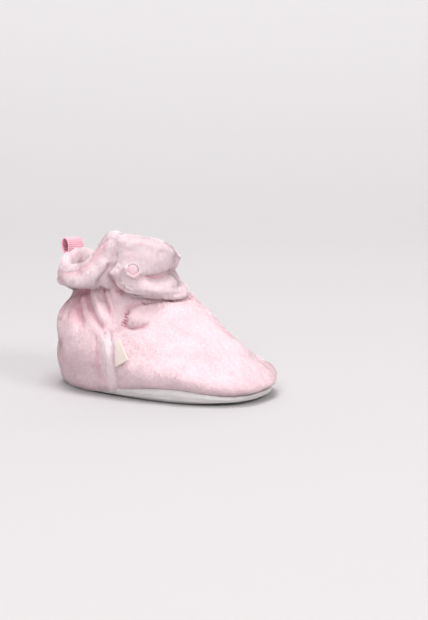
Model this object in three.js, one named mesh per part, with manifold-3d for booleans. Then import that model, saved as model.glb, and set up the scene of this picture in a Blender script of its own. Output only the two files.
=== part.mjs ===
// Soft baby bootie slipper for the right foot: padded fabric sole, plush upper gathered at the ankle, and a turned-out
// cuff with an ankle flap that closes over the outer side with one snap.
// Millimetres, +Z up, toe towards +X, outer side towards -Y. The origin is on the floor under the middle of the sole.

import * as THREE from "three";
import { mergeVertices } from "three/addons/utils/BufferGeometryUtils.js";
import Module from "manifold-3d";

const wasm = await Module();
wasm.setup();

// Sole
const SOLE_LENGTH = 112; // outline at the sole seam, heel to toe
const BALL_WIDTH = 59; // outline at the sole seam, across the ball
const HEEL_NARROWING = 0.1; // share by which the outline narrows towards the heel and widens towards the toe
const SOLE_THICKNESS = 4.5; // padded fabric, at the middle
const SEAM_HEIGHT_HEEL = 3; // the sole seam above the floor, tucked under the heel
const SEAM_HEIGHT_BALL = 8.2; // where the sole's padded edge shows
const SEAM_HEIGHT_TOE = 6.2;
const SOLE_TURN = 1.2; // how far the lower edge of the sole turns up off the floor
const SOLE_BULGE = 0.8; // how far the padded edge stands out past the seam
const SOLE_FLAT_SHARE = 0.84; // share of the outline that lies flat on the floor
const TOE_SPRING = 2; // extra lift of the whole toe end
const TOE_SPRING_START = 22; // in front of the middle of the sole
const FOOT_BEND = 3; // how far the toe end curves to the inner side
const FOOT_BEND_START = -10;
const INSOLE_THICKNESS = 2;
const INSOLE_MARGIN = 6; // from the sole seam to the edge of the insole

// Upper
const UPPER_WALL = 3; // plush with its lining
const ANKLE_LENGTH = 60; // outside the elastic, front to back
const ANKLE_WIDTH = 43; // outside the elastic, side to side
const ANKLE_SETBACK = 19.5; // centre of the ankle behind the middle of the sole
const ANKLE_HEIGHT_BACK = 48.5; // the elastic above the floor
const ANKLE_HEIGHT_SIDE = 53;
const ANKLE_HEIGHT_FRONT = 49.5;
const GATHER_DEPTH = 3; // deepest trough that the elastic draws in
const LINING_FOLLOWS = 0.6; // share of that depth on the inside
const VAMP_STEP = 1; // how far the vamp stands out over the band above it
const SEAM_RIDGE = 0.9; // how far the turned-in side seam stands out

// Cuff
const CUFF_HEIGHT = 30; // above the elastic, on the outer side
const CUFF_FLARE = 10.5; // how far the cuff turns out at the back
const CUFF_WALL = 5; // doubled plush

// Ankle flap, sewn to the cuff on the inner side and snapped down on the outer side
const FLAP_THICKNESS = 4.5;
const FLAP_INNER_END = 70; // angle from the toe round to the inner side
const FLAP_OUTER_END = -82; // angle from the toe round to the outer side, at the lower corner
const FLAP_END_SLANT = 7; // by how many degrees the end stands further forward above the corner
const FLAP_LOW = 0.98; // level of the lower edge, where the elastic is 1 and the top of the cuff is 2
const FLAP_HIGH = 1.98; // level of the upper edge
const FLAP_CORNER_RISE = 0.57; // height of the round lower corner, in levels
const FLAP_CORNER_REACH = 0.15; // share of the flap's length that the round lower corner takes
const FLAP_TOP_DROP = 0.16; // height of the round upper corner, in levels
const FLAP_TOP_REACH = 0.06; // share of the flap's length that the round upper corner takes
const FLAP_PUFF = 1.4; // how far the two padded rolls stand out
const FLAP_CREASE = 1.6; // depth of the crease between the rolls
const FLAP_CREASE_UP = 9.3; // the crease above the elastic
const FLAP_CREASE_CLIMB = 2.8; // how much higher it runs over the front
const FLAP_CREASE_CREST = -12; // angle where it runs highest
const FLAP_CREASE_SPREAD = 18; // degrees that the climb takes
const FLAP_CREASE_WIDTH = 2.2; // half width of the crease
const THROAT_SLIT_ANGLE = 42; // where the layer under the flap ends
const THROAT_SLIT = 1.2;

// Trimmings
const LOOP_WIDTH = 14; // ribbon width
const LOOP_HEIGHT = 9; // of the open loop
const LOOP_SINK = 0.3; // of that in the plush of the rim
const LOOP_DEPTH = 4.8; // front to back of the open loop
const LOOP_RIBBON = 0.8; // ribbon thickness
const LOOP_ROOT = 4; // sewn into the cuff
const LOOP_LEAN = 10; // degrees, backwards
const LOOP_TILT = 7; // degrees, towards the inner side
const LABEL_LENGTH = 13; // along the side seam
const LABEL_FOOT = 0.235; // share of the height where the label begins
const LABEL_REACH = 5.4; // out of the side seam
const LABEL_THICKNESS = 0.8;
const SNAP_DIAMETER = 6.2;
const SNAP_THICKNESS = 1.1;
const SNAP_ANGLE_OUTER = -61; // the closed snap
const SNAP_ANGLE_FRONT = 33; // the second snap, for a looser fit
const SNAP_UP_OUTER = 13.2; // above the elastic
const SNAP_UP_FRONT = 14;

const CLEARANCE = 0.3; // between sewn pieces
const FLAP_CLEARANCE = 0.5; // between the flap and the layer under it

const COLUMNS = 60; // round the sole
const DEGREE = Math.PI / 180;

// The upper from the sole seam (0) to the elastic (1). rise is the share of the height; back, front and side are shares
// of the way from the outline of the sole to the outline of the ankle, and a negative share bulges out past the sole.
const FOOT_SECTIONS = [
  { rise: 0.0, back: 0.0, front: 0.0, side: 0.0, taper: 0.1 },
  { rise: 0.05, back: -0.3, front: -0.075, side: -0.25, taper: 0.09 },
  { rise: 0.12, back: -0.4, front: -0.085, side: -0.42, taper: 0.06 },
  { rise: 0.19, back: -0.38, front: -0.03, side: -0.52, taper: -0.01 },
  { rise: 0.26, back: -0.34, front: 0.07, side: -0.54, taper: -0.12 },
  { rise: 0.33, back: -0.32, front: 0.165, side: -0.5, taper: -0.22 },
  { rise: 0.42, back: -0.35, front: 0.255, side: -0.42, taper: -0.31 },
  { rise: 0.52, back: -0.36, front: 0.365, side: -0.28, taper: -0.38 },
  { rise: 0.62, back: -0.32, front: 0.475, side: -0.1, taper: -0.4 },
  { rise: 0.72, back: -0.18, front: 0.595, side: 0.14, taper: -0.36 },
  { rise: 0.81, back: 0.1, front: 0.725, side: 0.4, taper: -0.27 },
  { rise: 0.89, back: 0.42, front: 0.85, side: 0.66, taper: -0.15 },
  { rise: 0.95, back: 0.72, front: 0.94, side: 0.86, taper: -0.06 },
  { rise: 1.0, back: 1.0, front: 1.0, side: 1.0, taper: 0.0 },
];

// The cuff round the ankle, by angle from the toe: its height and its flare as shares of the named sizes.
const CUFF_AROUND = [
  { angle: -180, height: 0.56, flare: 0.88 },
  { angle: -155, height: 0.46, flare: 1.0 },
  { angle: -135, height: 0.41, flare: 0.97 },
  { angle: -116, height: 0.46, flare: 0.8 },
  { angle: -106, height: 0.58, flare: 0.6 },
  { angle: -99, height: 0.77, flare: 0.48 },
  { angle: -91, height: 0.93, flare: 0.4 },
  { angle: -80, height: 0.99, flare: 0.35 },
  { angle: -60, height: 1.0, flare: 0.15 },
  { angle: -30, height: 0.93, flare: -0.4 },
  { angle: 0, height: 0.79, flare: -0.8 },
  { angle: 30, height: 0.65, flare: -0.7 },
  { angle: 50, height: 0.58, flare: -0.35 },
  { angle: 75, height: 0.53, flare: 0.15 },
  { angle: 100, height: 0.5, flare: 0.6 },
  { angle: 130, height: 0.48, flare: 0.9 },
  { angle: 155, height: 0.51, flare: 1.0 },
  { angle: 180, height: 0.56, flare: 0.88 },
];

// The outside of the cuff from the elastic up: out is the share of the flare.
const CUFF_PROFILE = [
  { up: 0.0, out: 0.0 },
  { up: 0.08, out: 0.4 },
  { up: 0.2, out: 0.8 },
  { up: 0.38, out: 1.0 },
  { up: 0.58, out: 1.0 },
  { up: 0.78, out: 0.92 },
  { up: 0.92, out: 0.8 },
  { up: 1.0, out: 0.72 },
];

// Troughs that the elastic draws into the quarter: top and foot are angles from the toe, negative on the outer side.
const GATHERS = [
  { top: -98, foot: -92, reach: 0.66, depth: 0.6, width: 4 },
  { top: -116, foot: -100, reach: 0.58, depth: 1.0, width: 5 },
  { top: -129, foot: -112, reach: 0.56, depth: 1.0, width: 5 },
  { top: -144, foot: -130, reach: 0.55, depth: 0.8, width: 5.5 },
  { top: -160, foot: -150, reach: 0.52, depth: 0.7, width: 6 },
  { top: -177, foot: -173, reach: 0.55, depth: 0.6, width: 6 },
  { top: 166, foot: 168, reach: 0.52, depth: 0.7, width: 6 },
  { top: 150, foot: 144, reach: 0.54, depth: 0.8, width: 6 },
  { top: 134, foot: 122, reach: 0.56, depth: 0.9, width: 5.5 },
  { top: 119, foot: 105, reach: 0.58, depth: 1.0, width: 5 },
  { top: 103, foot: 94, reach: 0.66, depth: 0.7, width: 4.5 },
];

// The vamp's top edge, sewn to the quarter: the rise at which it lies, by angle from the toe.
const VAMP_EDGE = [
  { angle: 0, rise: 0.94 },
  { angle: 35, rise: 0.94 },
  { angle: 48, rise: 0.925 },
  { angle: 56, rise: 0.9 },
  { angle: 66, rise: 0.87 },
  { angle: 74, rise: 0.825 },
  { angle: 79, rise: 0.72 },
  { angle: 82, rise: 0.64 },
  { angle: 88, rise: 0.59 },
  { angle: 98, rise: 0.57 },
  { angle: 180, rise: 0.57 },
];
const SIDE_SEAM_FOOT = 97; // angle of the side seam at the sole
const SIDE_SEAM_TOP = 91; // and where it meets the vamp's top edge

// Basic functions

const mix = (a, b, share) => a + (b - a) * share;
const clamp = (v, low = 0, high = 1) => Math.min(high, Math.max(low, v));
const smooth = (low, high, v) => {
  const t = clamp((v - low) / (high - low));
  return t * t * (3 - 2 * t);
};

// A smooth curve through one column of a table.
function along(table, key, value, at) {
  const last = table.length - 1;
  let i = 0;
  while (i < last - 1 && at > table[i + 1][key]) i++;
  const row = (n) => table[clamp(n, 0, last)];
  const slope = (n) => {
    const before = row(n - 1);
    const after = row(n + 1);
    return (after[value] - before[value]) / (after[key] - before[key]);
  };
  const span = row(i + 1)[key] - row(i)[key];
  const t = clamp((at - row(i)[key]) / span);
  const t2 = t * t;
  const t3 = t2 * t;
  return (
    (2 * t3 - 3 * t2 + 1) * row(i)[value] +
    (t3 - 2 * t2 + t) * span * slope(i) +
    (3 * t2 - 2 * t3) * row(i + 1)[value] +
    (t3 - t2) * span * slope(i + 1)
  );
}

// A parabola through a value at the back (-1), the side (0) and the front (1).
const backToFront = (back, side, front, at) =>
  side + ((front - back) / 2) * at + ((front + back) / 2 - side) * at * at;

const signedPower = (v, power) => Math.sign(v) * Math.abs(v) ** power;

// The toe spring and the bend of the foot, which every piece follows.
function onFoot(x, y, z) {
  const spring = Math.max(0, (x - TOE_SPRING_START) / (SOLE_LENGTH / 2 - TOE_SPRING_START));
  const bend = Math.max(0, (x - FOOT_BEND_START) / (SOLE_LENGTH / 2 - FOOT_BEND_START));
  return new THREE.Vector3(x, y + FOOT_BEND * bend * bend, z + TOE_SPRING * spring * spring);
}

// The height of the sole seam, from heel (-1) to toe (1).
const seamHeight = (at) =>
  at < 0.4
    ? mix(SEAM_HEIGHT_HEEL, SEAM_HEIGHT_BALL, smooth(-0.75, 0.4, at))
    : mix(SEAM_HEIGHT_BALL, SEAM_HEIGHT_TOE, smooth(0.4, 1, at));

// A closed egg-shaped outline: squareness 1 is an ellipse, and less is squarer.
function outline(angle, back, front, halfWidth, narrowing, squareness) {
  const along = signedPower(Math.cos(angle), squareness);
  const across = signedPower(Math.sin(angle), squareness);
  return {
    x: (back + front) / 2 + ((front - back) / 2) * along,
    y: halfWidth * across * (1 + narrowing * along),
    along,
  };
}

const SOLE_SQUARENESS = 0.84;
const ANKLE_SQUARENESS = 1;
const ankleBack = -ANKLE_SETBACK - ANKLE_LENGTH / 2;
const ankleFront = -ANKLE_SETBACK + ANKLE_LENGTH / 2;

// The sole's outline, inset by a distance.
function soleOutline(angle, inset) {
  const half = SOLE_LENGTH / 2 - inset;
  return outline(angle, -half, half, BALL_WIDTH / 2 - inset, HEEL_NARROWING, SOLE_SQUARENESS);
}

// The outward direction of the ankle at an angle.
function outward(angle) {
  return new THREE.Vector3(
    Math.cos(angle) / ANKLE_LENGTH,
    Math.sin(angle) / ANKLE_WIDTH,
    0,
  ).normalize();
}

// The plain outside of the upper: level 0 is the sole seam, 1 the elastic and 2 the top of the cuff.
function outside(angle, level) {
  const rise = clamp(level);
  const back = mix(-SOLE_LENGTH / 2, ankleBack, along(FOOT_SECTIONS, "rise", "back", rise));
  const front = mix(SOLE_LENGTH / 2, ankleFront, along(FOOT_SECTIONS, "rise", "front", rise));
  const side = mix(BALL_WIDTH / 2, ANKLE_WIDTH / 2, along(FOOT_SECTIONS, "rise", "side", rise));
  const p = outline(
    angle,
    back,
    front,
    side,
    along(FOOT_SECTIONS, "rise", "taper", rise),
    mix(SOLE_SQUARENESS, ANKLE_SQUARENESS, smooth(0.1, 0.5, rise)),
  );
  const top = backToFront(ANKLE_HEIGHT_BACK, ANKLE_HEIGHT_SIDE, ANKLE_HEIGHT_FRONT, p.along);
  const point = onFoot(p.x, p.y, mix(seamHeight(p.along), top, rise));
  if (level > 1) {
    const degrees = angle / DEGREE;
    const flare = CUFF_FLARE * along(CUFF_AROUND, "angle", "flare", degrees);
    const height = CUFF_HEIGHT * along(CUFF_AROUND, "angle", "height", degrees);
    const out = along(CUFF_PROFILE, "up", "out", Math.min(level - 1, 1));
    point.addScaledVector(outward(angle), flare * out);
    point.z += height * (level - 1);
  }
  return point;
}

// The share by which the layer under the flap is sunk: none at the outer end, where the flap lies on the cuff, and all
// of the flap's thickness at the inner end, where the flap is flush with the cuff.
function sink(angle, level) {
  const degrees = angle / DEGREE;
  if (degrees > FLAP_INNER_END + 1.5) return 0;
  return smooth(FLAP_OUTER_END, FLAP_INNER_END, degrees) * smooth(FLAP_LOW - 0.04, FLAP_LOW, level);
}

// The angle of the side seam, which leans forwards as it rises.
const sideSeam = (level) => mix(SIDE_SEAM_FOOT, SIDE_SEAM_TOP, clamp(level / 0.57));

// Relief of the outside: gathers, the vamp's step and the ridge of the side seam.
function relief(angle, level) {
  const degrees = angle / DEGREE;
  const fromToe = Math.abs(degrees);
  let height = 0;
  for (const fold of GATHERS) {
    const fade = smooth(fold.reach, Math.min(fold.reach + 0.3, 0.97), level) * (1 - smooth(1.02, 1.3, level));
    const centre = mix(fold.foot, fold.top, clamp((level - fold.reach) / (1 - fold.reach)));
    const away = Math.abs(((degrees - centre + 900) % 360) - 180);
    height -= GATHER_DEPTH * fold.depth * fade * Math.exp(-((away / fold.width) ** 2));
  }
  const edge = along(VAMP_EDGE, "angle", "rise", fromToe);
  const seam = sideSeam(level);
  if (fromToe < seam && level < edge + 1e-9)
    height += VAMP_STEP * smooth(edge - 0.35, edge - 0.02, level) * smooth(seam, seam - 11, fromToe);
  const nearSeam = Math.exp(-(((fromToe - seam - 4) / 3) ** 2));
  height += SEAM_RIDGE * nearSeam * smooth(0.02, 0.1, level) * (1 - smooth(0.55, 0.66, level));
  return height;
}

// The unit normal of the plain outside, facing out.
function normalAt(angle, level) {
  const step = 0.02;
  const high = Math.min(level + step, 1.9);
  const low = Math.max(Math.min(level, 1.9) - step, 0);
  const around = outside(angle + step, level).sub(outside(angle - step, level));
  const up = outside(angle, high).sub(outside(angle, low));
  return around.cross(up).normalize();
}

// The real outside of the upper, with its relief and with the sunk layer under the flap.
function upperOutside(angle, level) {
  const point = outside(angle, level);
  point.addScaledVector(outward(angle), -sink(angle, level) * (FLAP_THICKNESS + FLAP_CLEARANCE));
  return point.addScaledVector(normalAt(angle, level), relief(angle, level));
}

const wallAt = (angle, level) => {
  const cuff = mix(CUFF_WALL, UPPER_WALL, sink(angle, 1) > 0 ? 1 : 0);
  return mix(UPPER_WALL, cuff, smooth(1.0, 1.35, level));
};

// The inside of the upper is the plain outside less the wall, and it follows the gathers a little less deeply.
function upperInside(angle, level) {
  const point = outside(angle, level);
  point.addScaledVector(outward(angle), -sink(angle, level) * (FLAP_THICKNESS + FLAP_CLEARANCE));
  const inwards = level > 1 ? outward(angle) : normalAt(angle, level);
  const folds = Math.min(0, relief(angle, level)) * LINING_FOLLOWS;
  return point.addScaledVector(inwards, folds - wallAt(angle, level));
}

// Mesh functions

function geometryOf(points, faces) {
  const geometry = new THREE.BufferGeometry();
  geometry.setAttribute("position", new THREE.Float32BufferAttribute(points.flatMap((p) => p.toArray()), 3));
  geometry.setIndex(faces.flat());
  return geometry;
}

// A closed skin over rings of equal length. A ring list that is looped makes a hollow wall, and one that isn't is
// closed by a fan at each end.
function skin(rings, looped) {
  const count = rings[0].length;
  const points = rings.flat();
  const faces = [];
  const strips = looped ? rings.length : rings.length - 1;
  for (let r = 0; r < strips; r++) {
    const here = r * count;
    const next = ((r + 1) % rings.length) * count;
    for (let i = 0; i < count; i++) {
      const j = (i + 1) % count;
      faces.push([here + i, here + j, next + j], [here + i, next + j, next + i]);
    }
  }
  if (!looped)
    for (const [start, flip] of [[0, true], [(rings.length - 1) * count, false]]) {
      const ring = points.slice(start, start + count);
      const middle = ring.reduce((sum, p) => sum.add(p), new THREE.Vector3()).divideScalar(count);
      points.push(middle);
      for (let i = 0; i < count; i++) {
        const j = (i + 1) % count;
        faces.push(flip ? [start + j, start + i, points.length - 1] : [start + i, start + j, points.length - 1]);
      }
    }
  return geometryOf(points, faces);
}

// A closed skin over two sheets of the same grid, which share their border points.
function pillow(outerSheet, innerSheet) {
  const rows = outerSheet.length;
  const columns = outerSheet[0].length;
  const points = [...outerSheet.flat(), ...innerSheet.flat()];
  const faces = [];
  const onBorder = (r, c) => r === 0 || c === 0 || r === rows - 1 || c === columns - 1;
  const outer = (r, c) => r * columns + c;
  const inner = (r, c) => (onBorder(r, c) ? outer(r, c) : rows * columns + outer(r, c));
  for (let r = 0; r + 1 < rows; r++)
    for (let c = 0; c + 1 < columns; c++) {
      faces.push([outer(r, c), outer(r, c + 1), outer(r + 1, c + 1)]);
      faces.push([outer(r, c), outer(r + 1, c + 1), outer(r + 1, c)]);
      faces.push([inner(r, c), inner(r + 1, c + 1), inner(r, c + 1)]);
      faces.push([inner(r, c), inner(r + 1, c), inner(r + 1, c + 1)]);
    }
  return mergeVertices(geometryOf(points, faces).toNonIndexed(), 1e-4);
}

function solidOf(geometry) {
  const bare = geometry.index ? geometry.toNonIndexed() : geometry.clone();
  bare.deleteAttribute("normal");
  bare.deleteAttribute("uv");
  const merged = mergeVertices(bare, 1e-3);
  return new wasm.Manifold(
    new wasm.Mesh({
      numProp: 3,
      vertProperties: merged.attributes.position.array,
      triVerts: new Uint32Array(merged.index.array),
    }),
  );
}

function geometryFrom(solid) {
  const mesh = solid.getMesh();
  const geometry = new THREE.BufferGeometry();
  geometry.setAttribute("position", new THREE.BufferAttribute(mesh.vertProperties, mesh.numProp));
  geometry.setIndex(new THREE.BufferAttribute(mesh.triVerts, 1));
  return geometry;
}

const ringAngles = (count) => Array.from({ length: count }, (_, i) => -Math.PI + (2 * Math.PI * i) / count);

// Columns round the upper: closer together over the gathers than over the vamp.
function upperAngles() {
  const degrees = [];
  for (let at = -180; at < 180; at += Math.abs(at + 1) <= 75 ? 5 : 3) degrees.push(at);
  return degrees.map((at) => at * DEGREE);
}

// Pieces

// Padded sole: flat underneath, with a round padded edge up to the seam.
function outsole() {
  const angles = ringAngles(COLUMNS);
  const bottom = [0.35, 0.65, SOLE_FLAT_SHARE, 0.92, 0.975].map((share) =>
    angles.map((angle) => {
      const p = soleOutline(angle, 0);
      const turn = clamp((share - SOLE_FLAT_SHARE) / (1 - SOLE_FLAT_SHARE));
      return onFoot(p.x * share, p.y * share, SOLE_TURN * turn * turn);
    }),
  );
  const edge = [
    { inset: 0, up: 0.35 },
    { inset: -SOLE_BULGE, up: 0.6 },
    { inset: -SOLE_BULGE / 2, up: 0.88 },
    { inset: 0.8, up: 1 },
    { inset: UPPER_WALL + CLEARANCE, up: 1 },
  ].map(({ inset, up }) =>
    angles.map((angle) => {
      const p = soleOutline(angle, inset);
      return onFoot(p.x, p.y, (seamHeight(p.along) - CLEARANCE) * up);
    }),
  );
  const top = [0, 0.5].map((share) =>
    angles.map((angle) => {
      const p = soleOutline(angle, INSOLE_MARGIN);
      return onFoot(p.x * (1 - share), p.y * (1 - share), SOLE_THICKNESS);
    }),
  );
  return skin([...bottom, ...edge, ...top], false);
}

// Insole: lies on the sole inside the upper.
function insole() {
  const angles = ringAngles(COLUMNS);
  const low = SOLE_THICKNESS + CLEARANCE;
  const profile = [
    { share: 0.45, up: 0 },
    { share: 0.97, up: 0 },
    { share: 1, up: 0.5 },
    { share: 0.97, up: 1 },
    { share: 0.45, up: 1 },
  ];
  const rings = profile.map(({ share, up }) =>
    angles.map((angle) => {
      const p = soleOutline(angle, INSOLE_MARGIN + CLEARANCE);
      return onFoot(p.x * share, p.y * share, low + INSOLE_THICKNESS * up);
    }),
  );
  return skin(rings, false);
}

// Where the rows of the upper run, so that one row follows the vamp's top edge.
function levelOf(row, angle) {
  const edge = along(VAMP_EDGE, "angle", "rise", Math.abs(angle) / DEGREE);
  return row <= 1 ? edge * row : edge + (1 - edge) * (row - 1);
}

// The upper: vamp, quarter and cuff as one hollow wall, open at the collar and underneath.
function upperSkin() {
  const angles = upperAngles();
  const outerRows = [0, 0.05, 0.11, 0.19, 0.28, 0.38, 0.5, 0.62, 0.74, 0.85, 0.94, 1, 1.06, 1.2, 1.42, 1.62, 1.82, 2];
  const cuffLevels = [1.08, 1.2, 1.35, 1.52, 1.7, 1.85, 1.92];
  const innerLevels = [1.92, 1.62, 1.35, 1.15, 1.0, 0.92, 0.78, 0.6, 0.4, 0.2, 0.0];
  const rings = outerRows.map((row) => angles.map((angle) => upperOutside(angle, levelOf(row, angle))));
  for (const level of cuffLevels) rings.push(angles.map((angle) => upperOutside(angle, level)));
  const top = cuffLevels[cuffLevels.length - 1];
  for (const turn of [45, 90, 135])
    rings.push(
      angles.map((angle) => {
        const from = upperOutside(angle, top);
        const to = upperInside(angle, top);
        const radius = wallAt(angle, top) / 2;
        const point = from.clone().lerp(to, (1 - Math.cos(turn * DEGREE)) / 2);
        point.z += radius * Math.sin(turn * DEGREE);
        return point;
      }),
    );
  for (const level of innerLevels) rings.push(angles.map((angle) => upperInside(angle, level)));
  return skin(rings, true);
}

// The pull loop's frame: standing on the rim at the centre of the back.
function loopPlace() {
  const rim = outside(Math.PI, 1.92).addScaledVector(outward(Math.PI), -CUFF_WALL / 2);
  const place = new THREE.Object3D();
  place.position.set(rim.x, rim.y, rim.z + CUFF_WALL / 2);
  place.rotation.set(-LOOP_TILT * DEGREE, -LOOP_LEAN * DEGREE, 0);
  place.updateMatrix();
  return place;
}

// A folded ribbon: an open loop that narrows to two layers at its root.
function pullLoop() {
  const halfDepth = LOOP_DEPTH / 2;
  const halfHeight = LOOP_HEIGHT / 2;
  const ribbonPath = (inset, root) => {
    const points = [];
    for (let turn = -70; turn <= 250; turn += 16)
      points.push(
        new THREE.Vector2(
          (halfDepth - inset) * Math.cos(turn * DEGREE),
          halfHeight - LOOP_SINK + (halfHeight - inset) * Math.sin(turn * DEGREE),
        ),
      );
    if (root) points.push(new THREE.Vector2(-LOOP_RIBBON, -LOOP_ROOT), new THREE.Vector2(LOOP_RIBBON, -LOOP_ROOT));
    return points;
  };
  const shape = new THREE.Shape(ribbonPath(0, true));
  shape.holes.push(new THREE.Path(ribbonPath(LOOP_RIBBON, false)));
  const geometry = new THREE.ExtrudeGeometry(shape, { depth: LOOP_WIDTH, bevelEnabled: false });
  geometry.translate(0, 0, -LOOP_WIDTH / 2);
  geometry.rotateX(Math.PI / 2);
  return geometry;
}

// The slot in the rim that takes the pull loop's root, and the slit where the layer under the flap ends.
function upperCuts() {
  const place = loopPlace();
  const slot = new THREE.BoxGeometry(
    2 * (LOOP_RIBBON + CLEARANCE),
    LOOP_WIDTH + 2 * CLEARANCE,
    2 * (LOOP_ROOT + CLEARANCE),
  ).applyMatrix4(place.matrix);
  const angle = THROAT_SLIT_ANGLE * DEGREE;
  const low = upperInside(angle, 1.0);
  const slit = new THREE.BoxGeometry(2 * (UPPER_WALL + FLAP_THICKNESS), THROAT_SLIT, 2 * CUFF_HEIGHT);
  slit.rotateZ(Math.atan2(outward(angle).y, outward(angle).x));
  slit.translate(low.x, low.y, low.z + CUFF_HEIGHT);
  return [solidOf(slot), solidOf(slit)];
}

function upper() {
  let solid = solidOf(upperSkin());
  for (const cut of upperCuts()) solid = solid.subtract(cut);
  return geometryFrom(solid);
}

// The lower edge of the flap: level along the front, then round the corner at the outer end.
function flapLow(share) {
  const corner = clamp((share - (1 - FLAP_CORNER_REACH)) / FLAP_CORNER_REACH);
  return FLAP_LOW + FLAP_CORNER_RISE * (1 - Math.sqrt(1 - corner * corner));
}

// The upper edge of the flap, with its small round corner at the outer end.
function flapHigh(share) {
  const corner = clamp((share - (1 - FLAP_TOP_REACH)) / FLAP_TOP_REACH);
  return FLAP_HIGH - FLAP_TOP_DROP * (1 - Math.sqrt(1 - corner * corner));
}

// The angle on the flap at a share of its length: its end slants forwards above the lower corner.
function flapAngle(share, level) {
  const slant = FLAP_END_SLANT * smooth(1.34, 1.55, level) * smooth(0.75, 1, share);
  return (mix(FLAP_INNER_END - 1, FLAP_OUTER_END, share) + slant) * DEGREE;
}

// Padding of the flap: two rolls with a crease between them, which fades towards the outer end.
function flapPadding(angle, level) {
  const degrees = angle / DEGREE;
  const height = CUFF_HEIGHT * along(CUFF_AROUND, "angle", "height", degrees);
  const up = (level - 1) * height;
  const creaseUp = FLAP_CREASE_UP + FLAP_CREASE_CLIMB * Math.exp(-(((degrees - FLAP_CREASE_CREST) / FLAP_CREASE_SPREAD) ** 2));
  const crease = Math.exp(-(((up - creaseUp) / FLAP_CREASE_WIDTH) ** 2)) * smooth(-58, -40, degrees);
  return FLAP_PUFF * (1 - crease) - FLAP_CREASE * crease;
}

const edgeRound = (distance) => {
  const t = clamp(distance / (FLAP_THICKNESS / 2));
  return Math.sqrt(1 - (1 - t) * (1 - t));
};

// How far the middle of the flap lies outside the plain surface.
const flapMiddle = (angle, level) =>
  FLAP_CLEARANCE + FLAP_THICKNESS / 2 - sink(angle, level) * (FLAP_THICKNESS + FLAP_CLEARANCE);

// The ankle flap, from its inner end round the front to its outer end.
function ankleFlap() {
  const across = [0, 0.01, 0.03, 0.08, 0.15, 0.22, 0.29, 0.36, 0.43, 0.5, 0.57, 0.64, 0.71, 0.77, 0.82, 0.86, 0.9, 0.93];
  across.push(0.955, 0.975, 0.99, 1);
  const upward = [0, 0.025, 0.08, 0.16, 0.24, 0.3, 0.35, 0.4, 0.45, 0.52, 0.61, 0.71, 0.82, 0.92, 0.98, 1];
  const length = ((FLAP_INNER_END - FLAP_OUTER_END) * DEGREE * (ANKLE_LENGTH + ANKLE_WIDTH)) / 4;
  const sheets = [-1, 1].map((face) =>
    upward.map((v) =>
      across.map((q) => {
        const level = mix(flapLow(q), flapHigh(q), v);
        const angle = flapAngle(q, level);
        const height = CUFF_HEIGHT * (flapHigh(q) - flapLow(q));
        const edge = Math.min(q, 1 - q) * length;
        const round = edgeRound(edge) * edgeRound(Math.min(v, 1 - v) * height);
        const padding = face > 0 ? flapPadding(angle, level) * smooth(0, 8, edge) : 0;
        const out = flapMiddle(angle, level) + round * ((face * FLAP_THICKNESS) / 2 + padding);
        return outside(angle, level).addScaledVector(outward(angle), out);
      }),
    ),
  );
  return pillow(sheets[0], sheets[1]);
}

// The outside of the flap at an angle and a level.
function flapOutside(angle, level) {
  const out = flapMiddle(angle, level) + FLAP_THICKNESS / 2 + flapPadding(angle, level);
  return outside(angle, level).addScaledVector(outward(angle), out);
}

// A snap cap: a low dome on a flat back, which lies on the highest point of the flap under it.
function snapCap(degrees, up) {
  const radius = SNAP_DIAMETER / 2;
  const angle = degrees * DEGREE;
  const height = CUFF_HEIGHT * along(CUFF_AROUND, "angle", "height", degrees);
  const level = 1 + up / height;
  const turn = (2 * radius) / ANKLE_WIDTH;
  const rise = radius / height;
  const centre = flapOutside(angle, level);
  const around = flapOutside(angle + turn, level).sub(flapOutside(angle - turn, level));
  const upwards = flapOutside(angle, level + rise).sub(flapOutside(angle, level - rise));
  const normal = around.cross(upwards).normalize();
  let highest = 0;
  for (let i = -4; i <= 4; i++)
    for (let j = -4; j <= 4; j++) {
      const p = flapOutside(angle + (turn * i) / 4, level + (rise * j) / 4).sub(centre);
      highest = Math.max(highest, p.dot(normal));
    }
  const profile = [
    [0, 0],
    [radius, 0],
    [radius, SNAP_THICKNESS * 0.45],
    [radius * 0.86, SNAP_THICKNESS * 0.8],
    [radius * 0.45, SNAP_THICKNESS],
    [0, SNAP_THICKNESS],
  ].map(([r, h]) => new THREE.Vector2(r, h));
  const place = new THREE.Object3D();
  place.position.copy(centre).addScaledVector(normal, highest + CLEARANCE);
  place.quaternion.setFromUnitVectors(new THREE.Vector3(0, 1, 0), normal);
  return { geometry: new THREE.LatheGeometry(profile, 20), place };
}

// The folded label sewn into the side seam on the outer side, pointing forwards.
function sideLabel() {
  const columns = 5;
  const rows = 7;
  const sheets = [1, 0].map((face) =>
    Array.from({ length: rows }, (_, r) =>
      Array.from({ length: columns }, (_, c) => {
        const forward = (LABEL_REACH * c) / (columns - 1);
        const rise = LABEL_FOOT + (LABEL_LENGTH / ANKLE_HEIGHT_SIDE) * (r / (rows - 1)) + forward * 0.009;
        const angle = (1.5 - sideSeam(rise)) * DEGREE + forward / (SOLE_LENGTH / 2);
        const lift = CLEARANCE + 0.2 + 0.22 * forward + face * LABEL_THICKNESS;
        return outside(angle, rise).addScaledVector(normalAt(angle, rise), lift);
      }),
    ),
  );
  return slab(sheets[0], sheets[1]);
}

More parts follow.
